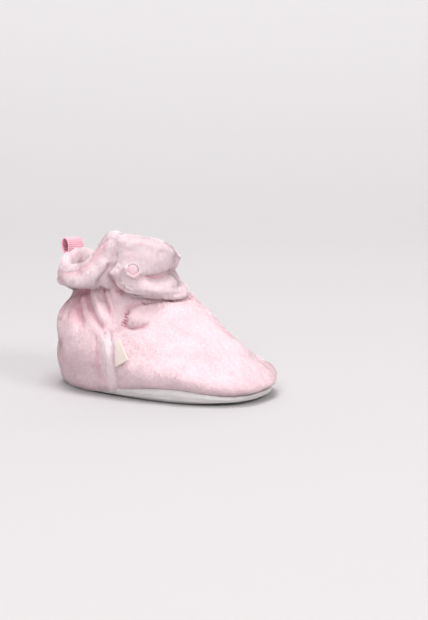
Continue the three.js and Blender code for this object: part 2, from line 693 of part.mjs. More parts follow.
// A closed slab between two sheets of the same grid.
function slab(outerSheet, innerSheet) {
  const rows = outerSheet.length;
  const columns = outerSheet[0].length;
  const ringOf = (sheet) => {
    const ring = [];
    for (let c = 0; c < columns; c++) ring.push(sheet[0][c]);
    for (let r = 1; r < rows; r++) ring.push(sheet[r][columns - 1]);
    for (let c = columns - 2; c >= 0; c--) ring.push(sheet[rows - 1][c]);
    for (let r = rows - 2; r > 0; r--) ring.push(sheet[r][0]);
    return ring;
  };
  const points = [...outerSheet.flat(), ...innerSheet.flat()];
  const index = new Map(points.map((p, i) => [p, i]));
  const faces = [];
  const at = (face, r, c) => face * rows * columns + r * columns + c;
  for (let r = 0; r + 1 < rows; r++)
    for (let c = 0; c + 1 < columns; c++) {
      faces.push([at(0, r, c), at(0, r, c + 1), at(0, r + 1, c + 1)], [at(0, r, c), at(0, r + 1, c + 1), at(0, r + 1, c)]);
      faces.push([at(1, r, c), at(1, r + 1, c + 1), at(1, r, c + 1)], [at(1, r, c), at(1, r + 1, c), at(1, r + 1, c + 1)]);
    }
  const outerRing = ringOf(outerSheet).map((p) => index.get(p));
  const innerRing = ringOf(innerSheet).map((p) => index.get(p));
  outerRing.forEach((a, i) => {
    const b = outerRing[(i + 1) % outerRing.length];
    faces.push([b, a, innerRing[i]], [b, innerRing[i], innerRing[(i + 1) % innerRing.length]]);
  });
  return geometryOf(points, faces);
}

// Assembly

const plush = new THREE.MeshStandardMaterial({ color: 0xf4d6de, roughness: 0.95, metalness: 0 });
const soleCloth = new THREE.MeshStandardMaterial({ color: 0xecebe8, roughness: 0.85, metalness: 0 });
const lining = new THREE.MeshStandardMaterial({ color: 0xf3dbe2, roughness: 0.9, metalness: 0 });
const ribbon = new THREE.MeshStandardMaterial({ color: 0xe88fa6, roughness: 0.75, metalness: 0 });
const tape = new THREE.MeshStandardMaterial({ color: 0xeee3d4, roughness: 0.8, metalness: 0 });
const cap = new THREE.MeshStandardMaterial({ color: 0xf6dfe4, roughness: 0.4, metalness: 0 });

const bootie = new THREE.Group();

function add(name, geometry, material, place) {
  const mesh = new THREE.Mesh(geometry, material);
  mesh.name = name;
  if (place) {
    mesh.position.copy(place.position);
    mesh.quaternion.copy(place.quaternion);
  }
  bootie.add(mesh);
}

add("outsole", outsole(), soleCloth);
add("insole", insole(), lining);
add("upper", upper(), plush);
add("ankle_flap", ankleFlap(), plush);
add("pull_loop", pullLoop(), ribbon, loopPlace());
add("side_label", sideLabel(), tape);
for (const [name, degrees, up] of [
  ["snap_cap_outer", SNAP_ANGLE_OUTER, SNAP_UP_OUTER],
  ["snap_cap_front", SNAP_ANGLE_FRONT, SNAP_UP_FRONT],
]) {
  const snap = snapCap(degrees, up);
  add(name, snap.geometry, cap, snap.place);
}

export default bootie;
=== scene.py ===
"""A soft baby bootie for the right foot: gathered plush upper, turned-out cuff and snapped ankle flap."""

import math

import bpy
import numpy as np
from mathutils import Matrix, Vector


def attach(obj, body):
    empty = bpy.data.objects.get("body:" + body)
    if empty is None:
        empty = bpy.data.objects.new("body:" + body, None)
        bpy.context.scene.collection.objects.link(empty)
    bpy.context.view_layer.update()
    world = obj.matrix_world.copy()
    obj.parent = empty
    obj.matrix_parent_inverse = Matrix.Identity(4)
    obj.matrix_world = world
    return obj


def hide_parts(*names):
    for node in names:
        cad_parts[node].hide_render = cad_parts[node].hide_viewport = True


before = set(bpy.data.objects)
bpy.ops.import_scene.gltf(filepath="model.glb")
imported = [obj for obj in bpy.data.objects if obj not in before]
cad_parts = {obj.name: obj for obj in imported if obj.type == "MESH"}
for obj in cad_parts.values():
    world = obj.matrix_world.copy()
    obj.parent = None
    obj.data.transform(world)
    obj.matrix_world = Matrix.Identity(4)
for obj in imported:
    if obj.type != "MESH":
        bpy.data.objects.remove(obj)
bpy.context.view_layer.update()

# Camera: about a metre away on the outer side and turned towards the toe, a little above the bootie. It looks
# past the bootie, which stands left of the middle of the picture.
VIEW_TURN = math.radians(31)
VIEW_RISE = math.radians(11.5)
VIEW_DISTANCE = 1.0
BOOTIE_MIDDLE = Vector((0, 0, 0.04))
AIM_ASIDE = 0.0256
AIM_ABOVE = 0.0005
LENS = 114.4

towards_camera = Vector(
    (
        math.sin(VIEW_TURN) * math.cos(VIEW_RISE),
        -math.cos(VIEW_TURN) * math.cos(VIEW_RISE),
        math.sin(VIEW_RISE),
    )
)
picture_right = Vector((math.cos(VIEW_TURN), math.sin(VIEW_TURN), 0))
picture_up = towards_camera.cross(picture_right)
aim = BOOTIE_MIDDLE + picture_right * AIM_ASIDE + picture_up * AIM_ABOVE
camera = bpy.data.objects.new("camera", bpy.data.cameras.new("camera"))
camera.location = BOOTIE_MIDDLE + towards_camera * VIEW_DISTANCE
camera.rotation_euler = (aim - camera.location).to_track_quat("-Z", "Y").to_euler()
camera.data.lens = LENS
camera.data.sensor_width = 36
camera.data.sensor_fit = "AUTO"
camera.data.clip_end = 40
bpy.context.scene.collection.objects.link(camera)
bpy.context.scene.camera = camera

# Light: a strong soft light overhead, a weaker one like a window at the right of the camera, another weak one
# in front on the left, and a pale room all round.
bpy.context.scene.view_settings.view_transform = "Standard"
bpy.context.scene.view_settings.look = "None"
room = bpy.data.worlds.new("room")
room.use_nodes = True
room.node_tree.nodes["Background"].inputs["Color"].default_value = (0.98, 0.975, 1.0, 1)
room.node_tree.nodes["Background"].inputs["Strength"].default_value = 0.5
bpy.context.scene.world = room


def soft_light(name, aside, towards, above, size, watts, tint):
    """A square soft light, placed in metres from the bootie as the camera sees it, and aimed at it."""
    lamp = bpy.data.lights.new(name, "AREA")
    lamp.size = size
    lamp.energy = watts
    lamp.color = tint
    level = Vector((towards_camera.x, towards_camera.y, 0)).normalized()
    light = bpy.data.objects.new(name, lamp)
    light.location = picture_right * aside + level * towards + Vector((0, 0, above))
    light.rotation_euler = (BOOTIE_MIDDLE - light.location).to_track_quat("-Z", "Y").to_euler()
    bpy.context.scene.collection.objects.link(light)


soft_light("window_light", 1.4, 1.2, 1.5, 0.9, 19, (1.0, 0.985, 0.965))
soft_light("ceiling_light", 0.0, 0.2, 2.3, 0.9, 36, (1.0, 0.99, 0.985))
soft_light("front_fill", -0.6, 1.5, 1.6, 0.9, 15, (1.0, 0.98, 0.98))

# Padded sole: white brushed cotton over a thin pad, cut to the foot's outline. It lies flat underneath, its
# edge turns up round the foot, and it is sewn to the plush along that edge.
MM = 0.001
SOLE_LENGTH = 112
BALL_WIDTH = 59
SOLE_SQUARENESS = 0.84
SOLE_TAPER = 0.1
SOLE_THICKNESS = 4.5
SOLE_FLAT_SHARE = 0.84
SOLE_TURN = 1.2
SEAM_HEIGHT_HEEL = 3
SEAM_HEIGHT_BALL = 8.2
SEAM_HEIGHT_TOE = 4.4
TOE_SPRING = 0.9
TOE_SPRING_START = 22
FOOT_BEND = 3
FOOT_BEND_START = -10
INSOLE_MARGIN = 6
CLEARANCE = 0.3
SOLE_EDGE_LIFT = 0.2
HEEL_TUCK = 1.1
HEEL_OVERHANG = 2.6
SOLE_TURN_LIFT = 1.6
SOLE_EDGE_ROWS = 22
SOLE_PUCKERS = 41
SOLE_EDGE = [
    dict(at=0.0, inset=0.0, up=0.12),
    dict(at=0.2, inset=-0.35, up=0.33),
    dict(at=0.45, inset=-0.85, up=0.58),
    dict(at=0.7, inset=-0.55, up=0.82),
    dict(at=0.88, inset=0.3, up=0.96),
    dict(at=1.0, inset=1.4, up=1.0),
]


def smooth(low, high, value):
    """0 below low, 1 above high and a soft step between them."""
    t = np.clip((value - low) / (high - low), 0, 1)
    return t * t * (3 - 2 * t)


def mix(first, second, share):
    return first + (second - first) * share


def curve(table, key, value, at):
    """A smooth curve through one column of a table."""
    keys = np.array([float(row[key]) for row in table])
    values = np.array([float(row[value]) for row in table])
    slopes = np.empty_like(values)
    slopes[1:-1] = (values[2:] - values[:-2]) / (keys[2:] - keys[:-2])
    slopes[0] = (values[1] - values[0]) / (keys[1] - keys[0])
    slopes[-1] = (values[-1] - values[-2]) / (keys[-1] - keys[-2])
    i = np.clip(np.searchsorted(keys, at, side="right") - 1, 0, len(keys) - 2)
    span = keys[i + 1] - keys[i]
    t = np.clip((at - keys[i]) / span, 0, 1)
    t2 = t * t
    t3 = t2 * t
    return (
        (2 * t3 - 3 * t2 + 1) * values[i]
        + (t3 - 2 * t2 + t) * span * slopes[i]
        + (3 * t2 - 2 * t3) * values[i + 1]
        + (t3 - t2) * span * slopes[i + 1]
    )


def outline(degrees, back, front, half_width, taper, squareness):
    """An egg-shaped outline: x, y and how far forward each point is, from -1 at the heel to 1 at the toe."""
    turn = np.radians(degrees)
    ahead = np.sign(np.cos(turn)) * np.abs(np.cos(turn)) ** squareness
    aside = np.sign(np.sin(turn)) * np.abs(np.sin(turn)) ** squareness
    x = (back + front) / 2 + (front - back) / 2 * ahead
    return x, half_width * aside * (1 + taper * ahead), ahead


def sole_outline(degrees, inset):
    half = SOLE_LENGTH / 2 - inset
    return outline(degrees, -half, half, BALL_WIDTH / 2 - inset, SOLE_TAPER, SOLE_SQUARENESS)


def on_foot(x, y, z):
    """The toe spring and the bend of the foot, which every piece follows."""
    spring = np.maximum(0, (x - TOE_SPRING_START) / (SOLE_LENGTH / 2 - TOE_SPRING_START))
    bend = np.maximum(0, (x - FOOT_BEND_START) / (SOLE_LENGTH / 2 - FOOT_BEND_START))
    return np.stack([x, y + FOOT_BEND * bend**2, z + TOE_SPRING * spring**2], axis=-1)


def seam_height(ahead):
    """The sole seam above the floor, from the heel (-1) to the toe (1)."""
    back = mix(SEAM_HEIGHT_HEEL, SEAM_HEIGHT_BALL, smooth(-0.75, 0.4, ahead))
    return np.where(ahead < 0.4, back, mix(SEAM_HEIGHT_BALL, SEAM_HEIGHT_TOE, smooth(0.4, 1, ahead)))


def normals_of(grid):
    """Outward directions of a grid that closes round its columns."""
    around = np.roll(grid, -1, axis=1) - np.roll(grid, 1, axis=1)
    normal = np.cross(around, np.gradient(grid, axis=0))
    return normal / np.maximum(np.linalg.norm(normal, axis=-1, keepdims=True), 1e-9)


def lumps(points, size, seed, waves=28):
    """Soft unevenness of cloth and stuffing, of about the given size in millimetres and about 1 high."""
    pick = np.random.default_rng(seed)
    ways = pick.normal(size=(waves, 3))
    ways *= (2 * np.pi / size * pick.uniform(0.6, 1.4, waves) / np.linalg.norm(ways, axis=1))[:, None]
    return np.cos(points @ ways.T + pick.uniform(0, 2 * np.pi, waves)).sum(axis=-1) / math.sqrt(waves)


def cloth(name, grid, looped=False, around=True, capped=False, folds=None, tone_and_highlight=0.0):
    """A smooth mesh over a grid of points in millimetres, with each point's painted fold shade and the
    piece's paleness, a painted highlight.
    """
    rows, columns = grid.shape[:2]
    row_steps = np.arange(rows if looped else rows - 1)
    column_steps = np.arange(columns if around else columns - 1)
    r, c = np.meshgrid(row_steps, column_steps, indexing="ij")
    r2 = (r + 1) % rows
    c2 = (c + 1) % columns
    quads = np.stack([r * columns + c, r * columns + c2, r2 * columns + c2, r2 * columns + c], axis=-1)
    corners = quads.ravel()
    starts = np.arange(0, corners.size, 4)
    if capped:
        ring = np.arange(columns)
        starts = np.append(starts, [corners.size, corners.size + columns])
        corners = np.concatenate([corners, ring[::-1], ring + (rows - 1) * columns])
    mesh = bpy.data.meshes.new(name)
    mesh.vertices.add(rows * columns)
    mesh.vertices.foreach_set("co", (grid * MM).ravel())
    mesh.loops.add(corners.size)
    mesh.loops.foreach_set("vertex_index", corners)
    mesh.polygons.add(starts.size)
    mesh.polygons.foreach_set("loop_start", starts)
    mesh.polygons.foreach_set("use_smooth", np.ones(starts.size, bool))
    mesh.update(calc_edges=True)
    deep = np.zeros(grid.shape[:2]) if folds is None else folds
    # The fold attribute is painted shade: the velour mixes in a deeper pink where it is high.
    mesh.attributes.new("fold", "FLOAT", "POINT").data.foreach_set("value", deep.ravel())
    mesh.attributes.new("tone_and_highlight", "FLOAT", "POINT").data.foreach_set("value", np.full(deep.size, tone_and_highlight))
    piece = bpy.data.objects.new(name, mesh)
    bpy.context.scene.collection.objects.link(piece)
    return piece


class Wire:
    """One output in a material's nodes. Python's operators add the Math nodes."""

    def __init__(self, socket):
        self.socket = socket

    def node(self, kind, settings, inputs, output=0):
        made = self.socket.id_data.nodes.new("ShaderNode" + kind)
        for name, value in settings.items():
            setattr(made, name, value)
        for name, value in inputs.items():
            if isinstance(value, Wire):
                self.socket.id_data.links.new(value.socket, made.inputs[name])
            else:
                made.inputs[name].default_value = value
        return Wire(made.outputs[output])

    def math(self, operation, first, second):
        return self.node("Math", {"operation": operation}, {0: first, 1: second})

    def __add__(self, other):
        return self.math("ADD", self, other)

    def __sub__(self, other):
        return self.math("SUBTRACT", self, other)

    def __rsub__(self, other):
        return self.math("SUBTRACT", other, self)

    def __mul__(self, other):
        return self.math("MULTIPLY", self, other)

    __radd__ = __add__
    __rmul__ = __mul__

    def clamp(self):
        return self.node("Clamp", {}, {"Value": self})

    def colours(self, low, high):
        """A mix of two colours, with this wire as the share of the second."""
        return self.node("Mix", {"data_type": "RGBA"}, {0: self, 6: low, 7: high}, 2)

    def noise(self, size, detail=2.0, stretch=(1, 1, 1)):
        """Noise with features of a size in millimetres, about 0.5 on average."""
        shares = tuple(1 / (MM * size * s) for s in stretch)
        scaled = self.node("VectorMath", {"operation": "MULTIPLY"}, {0: self, 1: shares})
        inputs = {"Vector": scaled, "Scale": 1.0, "Detail": detail, "Roughness": 0.55}
        return self.node("TexNoise", {}, inputs)

    def threads(self, direction, per_metre):
        """Fine parallel threads across one direction."""
        settings = {"wave_type": "BANDS", "bands_direction": direction}
        return self.node("TexWave", settings, {"Vector": self, "Scale": per_metre})

    def axis(self, name):
        return self.node("SeparateXYZ", {}, {0: self}, "XYZ".index(name))

    def bump(self, strength, distance):
        """A normal raised by this wire, over a distance in millimetres."""
        return self.node("Bump", {}, {"Height": self, "Strength": strength, "Distance": distance * MM})


def finish(name, **constants):
    """A material: the material itself, its shader and the wire of its place on the piece."""
    material = bpy.data.materials.new(name)
    material.use_nodes = True
    shader = material.node_tree.nodes["Principled BSDF"]
    for socket, value in constants.items():
        shader.inputs[socket.replace("_", " ")].default_value = value
    place = Wire(material.node_tree.nodes.new("ShaderNodeTexCoord").outputs["Object"])
    return material, shader, place


def feed(shader, **wires):
    for socket, wire in wires.items():
        shader.id_data.links.new(wire.socket, shader.inputs[socket.replace("_", " ")])


def set_piece(piece, material, slot, *nodes):
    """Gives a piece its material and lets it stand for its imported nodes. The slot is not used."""
    piece.data.materials.append(material)
    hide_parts(*nodes)
    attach(piece, "root")


sole_white, shader, place = finish(
    "brushed_cotton", Sheen_Weight=0.25, Sheen_Roughness=0.5, Specular_IOR_Level=0.15
)
weave = (place.threads("X", 420.0) + place.threads("Y", 420.0)) * 0.5
fluff = place.noise(0.8, 3)
soil = place.noise(14, 2)
feed(
    shader,
    Base_Color=(soil * 0.6 + fluff * 0.4).colours((0.64, 0.61, 0.6, 1), (0.8, 0.775, 0.77, 1)),
    Roughness=fluff * 0.2 + 0.75,
    Normal=(weave * 0.5 + fluff + place.noise(3, 2)).bump(0.5, 0.22),
)

columns = np.arange(0, 360, 1.0) - 180
rings = []
flat_shares = np.linspace(0.3, SOLE_FLAT_SHARE, 7)
turned_shares = np.linspace(SOLE_FLAT_SHARE, 0.985, 9)[1:]
for share in np.concatenate([flat_shares, turned_shares]):
    x, y, ahead = sole_outline(columns, 0)
    turned = max(0, (share - SOLE_FLAT_SHARE) / (1 - SOLE_FLAT_SHARE))
    lift = SOLE_TURN + SOLE_TURN_LIFT * smooth(-1.2, 0.2, ahead)
    rings.append(on_foot(x * share, y * share, lift * turned**2))
for at in np.linspace(0, 1, SOLE_EDGE_ROWS):
    tuck = HEEL_TUCK * smooth(0.3, -0.7, ahead)
    x, y, ahead = sole_outline(columns, curve(SOLE_EDGE, "at", "inset", at) + tuck)
    up = curve(SOLE_EDGE, "at", "up", at)
    lifted = up + SOLE_EDGE_LIFT * smooth(-1.5, 0.2, ahead) * (1 - up)
    rings.append(on_foot(x, y, (seam_height(ahead) - CLEARANCE) * lifted))
for inset, drop in ((2.6, 0.0), (4.0, 0.3)):
    x, y, ahead = sole_outline(columns, inset)
    rings.append(on_foot(x, y, mix(seam_height(ahead) - CLEARANCE, SOLE_THICKNESS, drop)))
for share in (1.0, 0.6, 0.3):
    x, y, ahead = sole_outline(columns, INSOLE_MARGIN)
    rings.append(on_foot(x * share, y * share, np.full_like(x, SOLE_THICKNESS)))
grid = np.stack(rings)
edge_start = len(flat_shares) + len(turned_shares)
on_edge = np.zeros(grid.shape[0])
on_edge[edge_start : edge_start + SOLE_EDGE_ROWS] = np.sin(np.linspace(0.3, math.pi, SOLE_EDGE_ROWS))
round_toe = smooth(-0.2, 0.9, np.cos(np.radians(columns)))
uneven_turn = 2.2 * lumps(grid[edge_start + 10], 16, 5)
pucker = np.cos(np.radians(columns) * SOLE_PUCKERS + uneven_turn) * round_toe
rising = np.linspace(0, 1, grid.shape[0])[:, None]
relief = on_edge[:, None] * (0.32 * lumps(grid, 7, 11) + 0.22 * pucker[None, :] * rising)
grid = grid + normals_of(grid) * relief[..., None]
outsole = cloth("padded_sole", grid, capped=True)
set_piece(outsole, sole_white, "sole_fabric", "outsole")

# Insole: a thin pad covered with the pink lining, loose on the sole inside the upper.
INSOLE_THICKNESS = 2
INSOLE_SECTION = [
    dict(share=0.4, up=0),
    dict(share=0.8, up=0),
    dict(share=0.97, up=0.05),
    dict(share=0.995, up=0.3),
    dict(share=1, up=0.55),
    dict(share=0.985, up=0.85),
    dict(share=0.95, up=1),
    dict(share=0.7, up=1),
    dict(share=0.4, up=1),
]
lining_pink, shader, place = finish(
    "lining_knit", Sheen_Weight=0.3, Sheen_Roughness=0.5, Specular_IOR_Level=0.1
)
knit = place.noise(0.7, 2, (1, 2.2, 1))
feed(
    shader,
    Base_Color=(place.noise(9, 2) * 0.6 + knit * 0.4).colours((0.82, 0.55, 0.62, 1), (0.93, 0.72, 0.78, 1)),
    Roughness=knit * 0.15 + 0.8,
    Normal=knit.bump(0.6, 0.2),
)
rings = []
x, y, _ = sole_outline(columns, INSOLE_MARGIN + CLEARANCE)
for row in INSOLE_SECTION:
    height = SOLE_THICKNESS + CLEARANCE + INSOLE_THICKNESS * row["up"]
    rings.append(on_foot(x * row["share"], y * row["share"], np.full_like(x, height)))
insole = cloth("insole_pad", np.stack(rings), capped=True)
set_piece(insole, lining_pink, "lining", "insole")

# Upper: pink velour with a short brushed pile. The vamp is eased into the quarter along its top edge, the
# quarter is drawn into deep gathers by the elastic round the ankle, and a side seam joins them on each side.
UPPER_WALL = 3
ANKLE_LENGTH = 60
ANKLE_WIDTH = 43
ANKLE_SETBACK = 19.5
ANKLE_HEIGHT_BACK = 48.5
ANKLE_HEIGHT_SIDE = 53
ANKLE_HEIGHT_FRONT = 49.5
CUFF_HEIGHT = 30
CUFF_FLARE = 10.5
FOOT_SECTIONS = [
    dict(rise=0.0, back=0.0, front=0.0, side=0.0, taper=0.1),
    dict(rise=0.05, back=-0.3, front=-0.075, side=-0.25, taper=0.09),
    dict(rise=0.12, back=-0.4, front=-0.055, side=-0.42, taper=0.06),
    dict(rise=0.19, back=-0.38, front=0.02, side=-0.52, taper=-0.01),
    dict(rise=0.26, back=-0.34, front=0.105, side=-0.54, taper=-0.12),
    dict(rise=0.33, back=-0.32, front=0.17, side=-0.5, taper=-0.22),
    dict(rise=0.42, back=-0.35, front=0.255, side=-0.42, taper=-0.31),
    dict(rise=0.52, back=-0.36, front=0.365, side=-0.28, taper=-0.38),
    dict(rise=0.62, back=-0.32, front=0.475, side=-0.1, taper=-0.4),
    dict(rise=0.72, back=-0.18, front=0.595, side=0.14, taper=-0.36),
    dict(rise=0.81, back=0.1, front=0.725, side=0.4, taper=-0.27),
    dict(rise=0.89, back=0.42, front=0.85, side=0.66, taper=-0.15),
    dict(rise=0.95, back=0.72, front=0.94, side=0.86, taper=-0.06),
    dict(rise=1.0, back=1.0, front=1.0, side=1.0, taper=0.0),
]
CUFF_AROUND = [
    dict(angle=-180, height=0.56, flare=0.88),
    dict(angle=-155, height=0.46, flare=1.0),
    dict(angle=-135, height=0.41, flare=0.97),
    dict(angle=-116, height=0.46, flare=0.8),
    dict(angle=-106, height=0.58, flare=0.6),
    dict(angle=-99, height=0.77, flare=0.48),
    dict(angle=-91, height=0.93, flare=0.4),
    dict(angle=-80, height=0.99, flare=0.35),
    dict(angle=-60, height=1.0, flare=0.15),
    dict(angle=-30, height=0.93, flare=-0.4),
    dict(angle=0, height=0.79, flare=-0.8),
    dict(angle=30, height=0.65, flare=-0.7),
    dict(angle=50, height=0.58, flare=-0.35),
    dict(angle=75, height=0.53, flare=0.15),
    dict(angle=100, height=0.5, flare=0.6),
    dict(angle=130, height=0.48, flare=0.9),
    dict(angle=155, height=0.51, flare=1.0),
    dict(angle=180, height=0.56, flare=0.88),
]
CUFF_PROFILE = [
    dict(up=0.0, out=0.0),
    dict(up=0.08, out=0.4),
    dict(up=0.2, out=0.8),
    dict(up=0.38, out=1.0),
    dict(up=0.58, out=1.0),
    dict(up=0.78, out=0.92),
    dict(up=0.92, out=0.8),
    dict(up=1.0, out=0.72),
]
VAMP_EDGE = [
    dict(angle=0, rise=0.94),
    dict(angle=35, rise=0.94),
    dict(angle=48, rise=0.925),
    dict(angle=56, rise=0.9),
    dict(angle=66, rise=0.87),
    dict(angle=74, rise=0.825),
    dict(angle=79, rise=0.72),
    dict(angle=82, rise=0.64),
    dict(angle=88, rise=0.59),
    dict(angle=98, rise=0.57),
    dict(angle=180, rise=0.57),
]
FLAP_THICKNESS = 4.5
FLAP_CLEARANCE = 0.5
FLAP_INNER_END = 70
FLAP_OUTER_END = -82
FLAP_LOW = 0.98
FLAP_HIGH = 1.98
SIDE_SEAM_FOOT = 97
SIDE_SEAM_TOP = 91
SIDE_SEAM_RISE = 0.57
SIDE_SEAM_GROOVE = 0.6
SIDE_STRIP_PUFF = 1.2
VAMP_STEP = 1.1
VAMP_GROOVE = 1.2
VAMP_PUCKERS = 42
VAMP_PUCKER_DEPTH = 0.5
VAMP_EDGE_ANGLES = (0, 18, 36, 56, 66, 74, 77, 80, 83, 91)
ELASTIC_NIP = 0.9
GATHER_DEPTH = 4.8
CUFF_BACK_SINK = 1.0
CUFF_SWELL = 1.7
CUFF_TURN_IN = 2.0
HEEL_FILL = 2.6
# Depth of a fold at which the plush gets its full painted shade.
FOLD_SHADE_DEPTH = 3.4
# Troughs in the plush, and ridges where the depth is negative. A line runs through points of angle from the
# toe and level, where 0 is the sole seam, 1 the elastic and 2 the top of the cuff. Depth and width are in
# millimetres.
GATHERS = [
    dict(line=((-96.8, 1.0), (-93.8, 0.916), (-91.2, 0.824), (-90.3, 0.70)), depth=2.2, width=1.6),
    dict(line=((-89, 1.0), (-86.8, 0.924), (-86.2, 0.836), (-85.8, 0.76)), depth=0.7, width=0.7),
    dict(line=((-101.5, 1.0), (-98, 0.91), (-95.5, 0.83)), depth=0.5, width=0.8),
    dict(line=((-118.5, 1.0), (-109.8, 0.884), (-99.2, 0.696), (-94.5, 0.53)), depth=2.3, width=1.8),
    dict(line=((-124, 1.0), (-115.5, 0.92), (-109.5, 0.844), (-104, 0.75)), depth=1.2, width=1.0),
    dict(line=((-133.5, 1.0), (-124.2, 0.88), (-116.5, 0.768), (-109, 0.59)), depth=3.6, width=3.1),
    dict(line=((-141, 1.0), (-135, 0.88), (-129, 0.76), (-124, 0.66)), depth=1.3, width=1.4),
    dict(line=((-150, 1.0), (-144, 0.85), (-138, 0.66)), depth=2.4, width=2.2),
    dict(line=((-159, 1.0), (-155, 0.86), (-151, 0.72)), depth=1.2, width=1.5),
    dict(line=((-168, 1.0), (-165, 0.84), (-162, 0.64)), depth=2.5, width=2.2),
    dict(line=((-177, 1.0), (-175, 0.86), (-174, 0.7)), depth=1.4, width=1.6),
    dict(line=((172, 1.0), (173, 0.85), (173, 0.62)), depth=2.6, width=2.2),
    dict(line=((163, 1.0), (160, 0.86), (159, 0.7)), depth=1.4, width=1.5),
    dict(line=((153, 1.0), (148, 0.83), (143, 0.62)), depth=2.8, width=2.3),
    dict(line=((142, 1.0), (136, 0.86), (131, 0.72)), depth=1.2, width=1.4),
    dict(line=((132, 1.0), (123, 0.87), (115, 0.74), (109, 0.57)), depth=3.8, width=2.4),
    dict(line=((123, 1.0), (115, 0.9), (109, 0.78)), depth=1.3, width=1.1),
    dict(line=((116, 1.0), (107, 0.86), (99, 0.69), (95, 0.54)), depth=3.2, width=1.6),
    dict(line=((106, 1.0), (100, 0.88), (96, 0.76)), depth=0.9, width=1.0),
    dict(line=((98, 1.0), (93.5, 0.88), (91, 0.74)), depth=2.8, width=1.3),
]
FOLDS = [
    dict(line=((-106, 1.0), (-101, 0.9), (-97.5, 0.82), (-93, 0.64)), depth=-1.5, width=2.6),
    dict(line=((-128, 0.98), (-117, 0.84), (-109, 0.7)), depth=-0.9, width=2.0),
    dict(line=((-96.5, 0.57), (-95.2, 0.56), (-94.0, 0.55)), depth=1.2, width=1.3),
    dict(line=((-82.5, 1.4), (-82, 1.2), (-78.5, 1.05), (-70, 0.975)), depth=4.2, width=2.1),
    dict(line=((-84, 1.5), (-86.5, 1.2), (-87, 1.0)), depth=-1.3, width=2.4),
    dict(line=((-83, 0.635), (-78, 0.622), (-72.5, 0.638), (-64, 0.70)), depth=2.6, width=1.35),
    dict(line=((-79, 0.76), (-76, 0.72), (-70, 0.69)), depth=-1.8, width=4.0),
    dict(line=((-62, 0.66), (-45, 0.58), (-28, 0.55)), depth=0.4, width=4.0),
    dict(line=((-60.5, 0.893), (-58.5, 0.895), (-57, 0.9)), depth=1.6, width=0.9),
    dict(line=((-27, 0.955), (-23.5, 0.955), (-20, 0.955)), depth=2.0, width=1.2),
    dict(line=((84, 0.62), (77, 0.66), (68, 0.74)), depth=1.8, width=1.5),
    dict(line=((79, 0.74), (72, 0.76), (62, 0.8)), depth=-1.2, width=4.0),
    dict(line=((-92, 0.33), (-60, 0.36), (-18, 0.35)), depth=0.4, width=3.6),
    dict(line=((92, 0.34), (60, 0.38), (18, 0.36)), depth=0.4, width=3.6),
    dict(line=((-30, 0.4), (0, 0.38), (30, 0.4)), depth=-0.7, width=6.0),
    dict(line=((-100.5, 0.6), (-103.5, 0.4), (-107, 0.03)), depth=1.1, width=1.3),
    dict(line=((99.5, 0.62), (103, 0.38), (107, 0.03)), depth=1.4, width=2.0),
    dict(line=((-150, 0.3), (-130, 0.24), (-112, 0.3)), depth=0.5, width=4.0),
    dict(line=((120, 0.38), (150, 0.42), (180, 0.42), (210, 0.42), (240, 0.38)), depth=1.3, width=8.0),
    dict(line=((-60, 0.28), (-20, 0.31), (20, 0.31), (60, 0.28)), depth=0.2, width=8.0),
    dict(line=((-83, 0.62), (-81, 0.67), (-79.2, 0.72), (-76.5, 0.79), (-73, 0.83)), depth=0.5, width=1.3),
    dict(line=((160, 0.34), (140, 0.26), (118, 0.3)), depth=0.6, width=4.0),
    dict(line=((-91, 1.95), (-88, 1.6), (-86, 1.3)), depth=-0.6, width=3.0),
    dict(line=((-178, 1.4), (-150, 1.45), (-124, 1.36)), depth=0.9, width=1.4),
    dict(line=((-120, 1.85), (-112, 1.6), (-108, 1.35)), depth=0.8, width=2.2),
    dict(line=((176, 1.3), (150, 1.45), (128, 1.35)), depth=0.6, width=1.8),
    dict(line=((140, 1.85), (136, 1.6), (134, 1.3)), depth=0.8, width=2.4),
]
# Where one fold lies over the next: the plush drops on the left of the line and rises again slowly.
OVERLAPS = [
    dict(line=((-84, 1.56), (-88.5, 1.4), (-95.8, 1.28), (-104, 1.06)), drop=2.5, slope=3.6, lip=1.0),
    dict(line=((104, 1.06), (98, 1.3), (90, 1.5)), drop=2.0, slope=3.4, lip=0.6),
]


def outward(degrees):
    """The level direction straight out from the ankle."""
    turn = np.radians(degrees)
    way = np.stack([np.cos(turn) / ANKLE_LENGTH, np.sin(turn) / ANKLE_WIDTH, np.zeros_like(turn)], axis=-1)
    return way / np.linalg.norm(way, axis=-1, keepdims=True)


def cuff_height(degrees):
    return CUFF_HEIGHT * curve(CUFF_AROUND, "angle", "height", degrees)


def side_seam(level):
    """The angle of the side seam from the toe at a level."""
    return mix(SIDE_SEAM_FOOT, SIDE_SEAM_TOP, np.clip(level / SIDE_SEAM_RISE, 0, 1))


def foot_share(column, rise):
    """One column of the foot's sections, at a rise from the sole seam (0) to the elastic (1)."""
    return curve(FOOT_SECTIONS, "rise", column, rise)


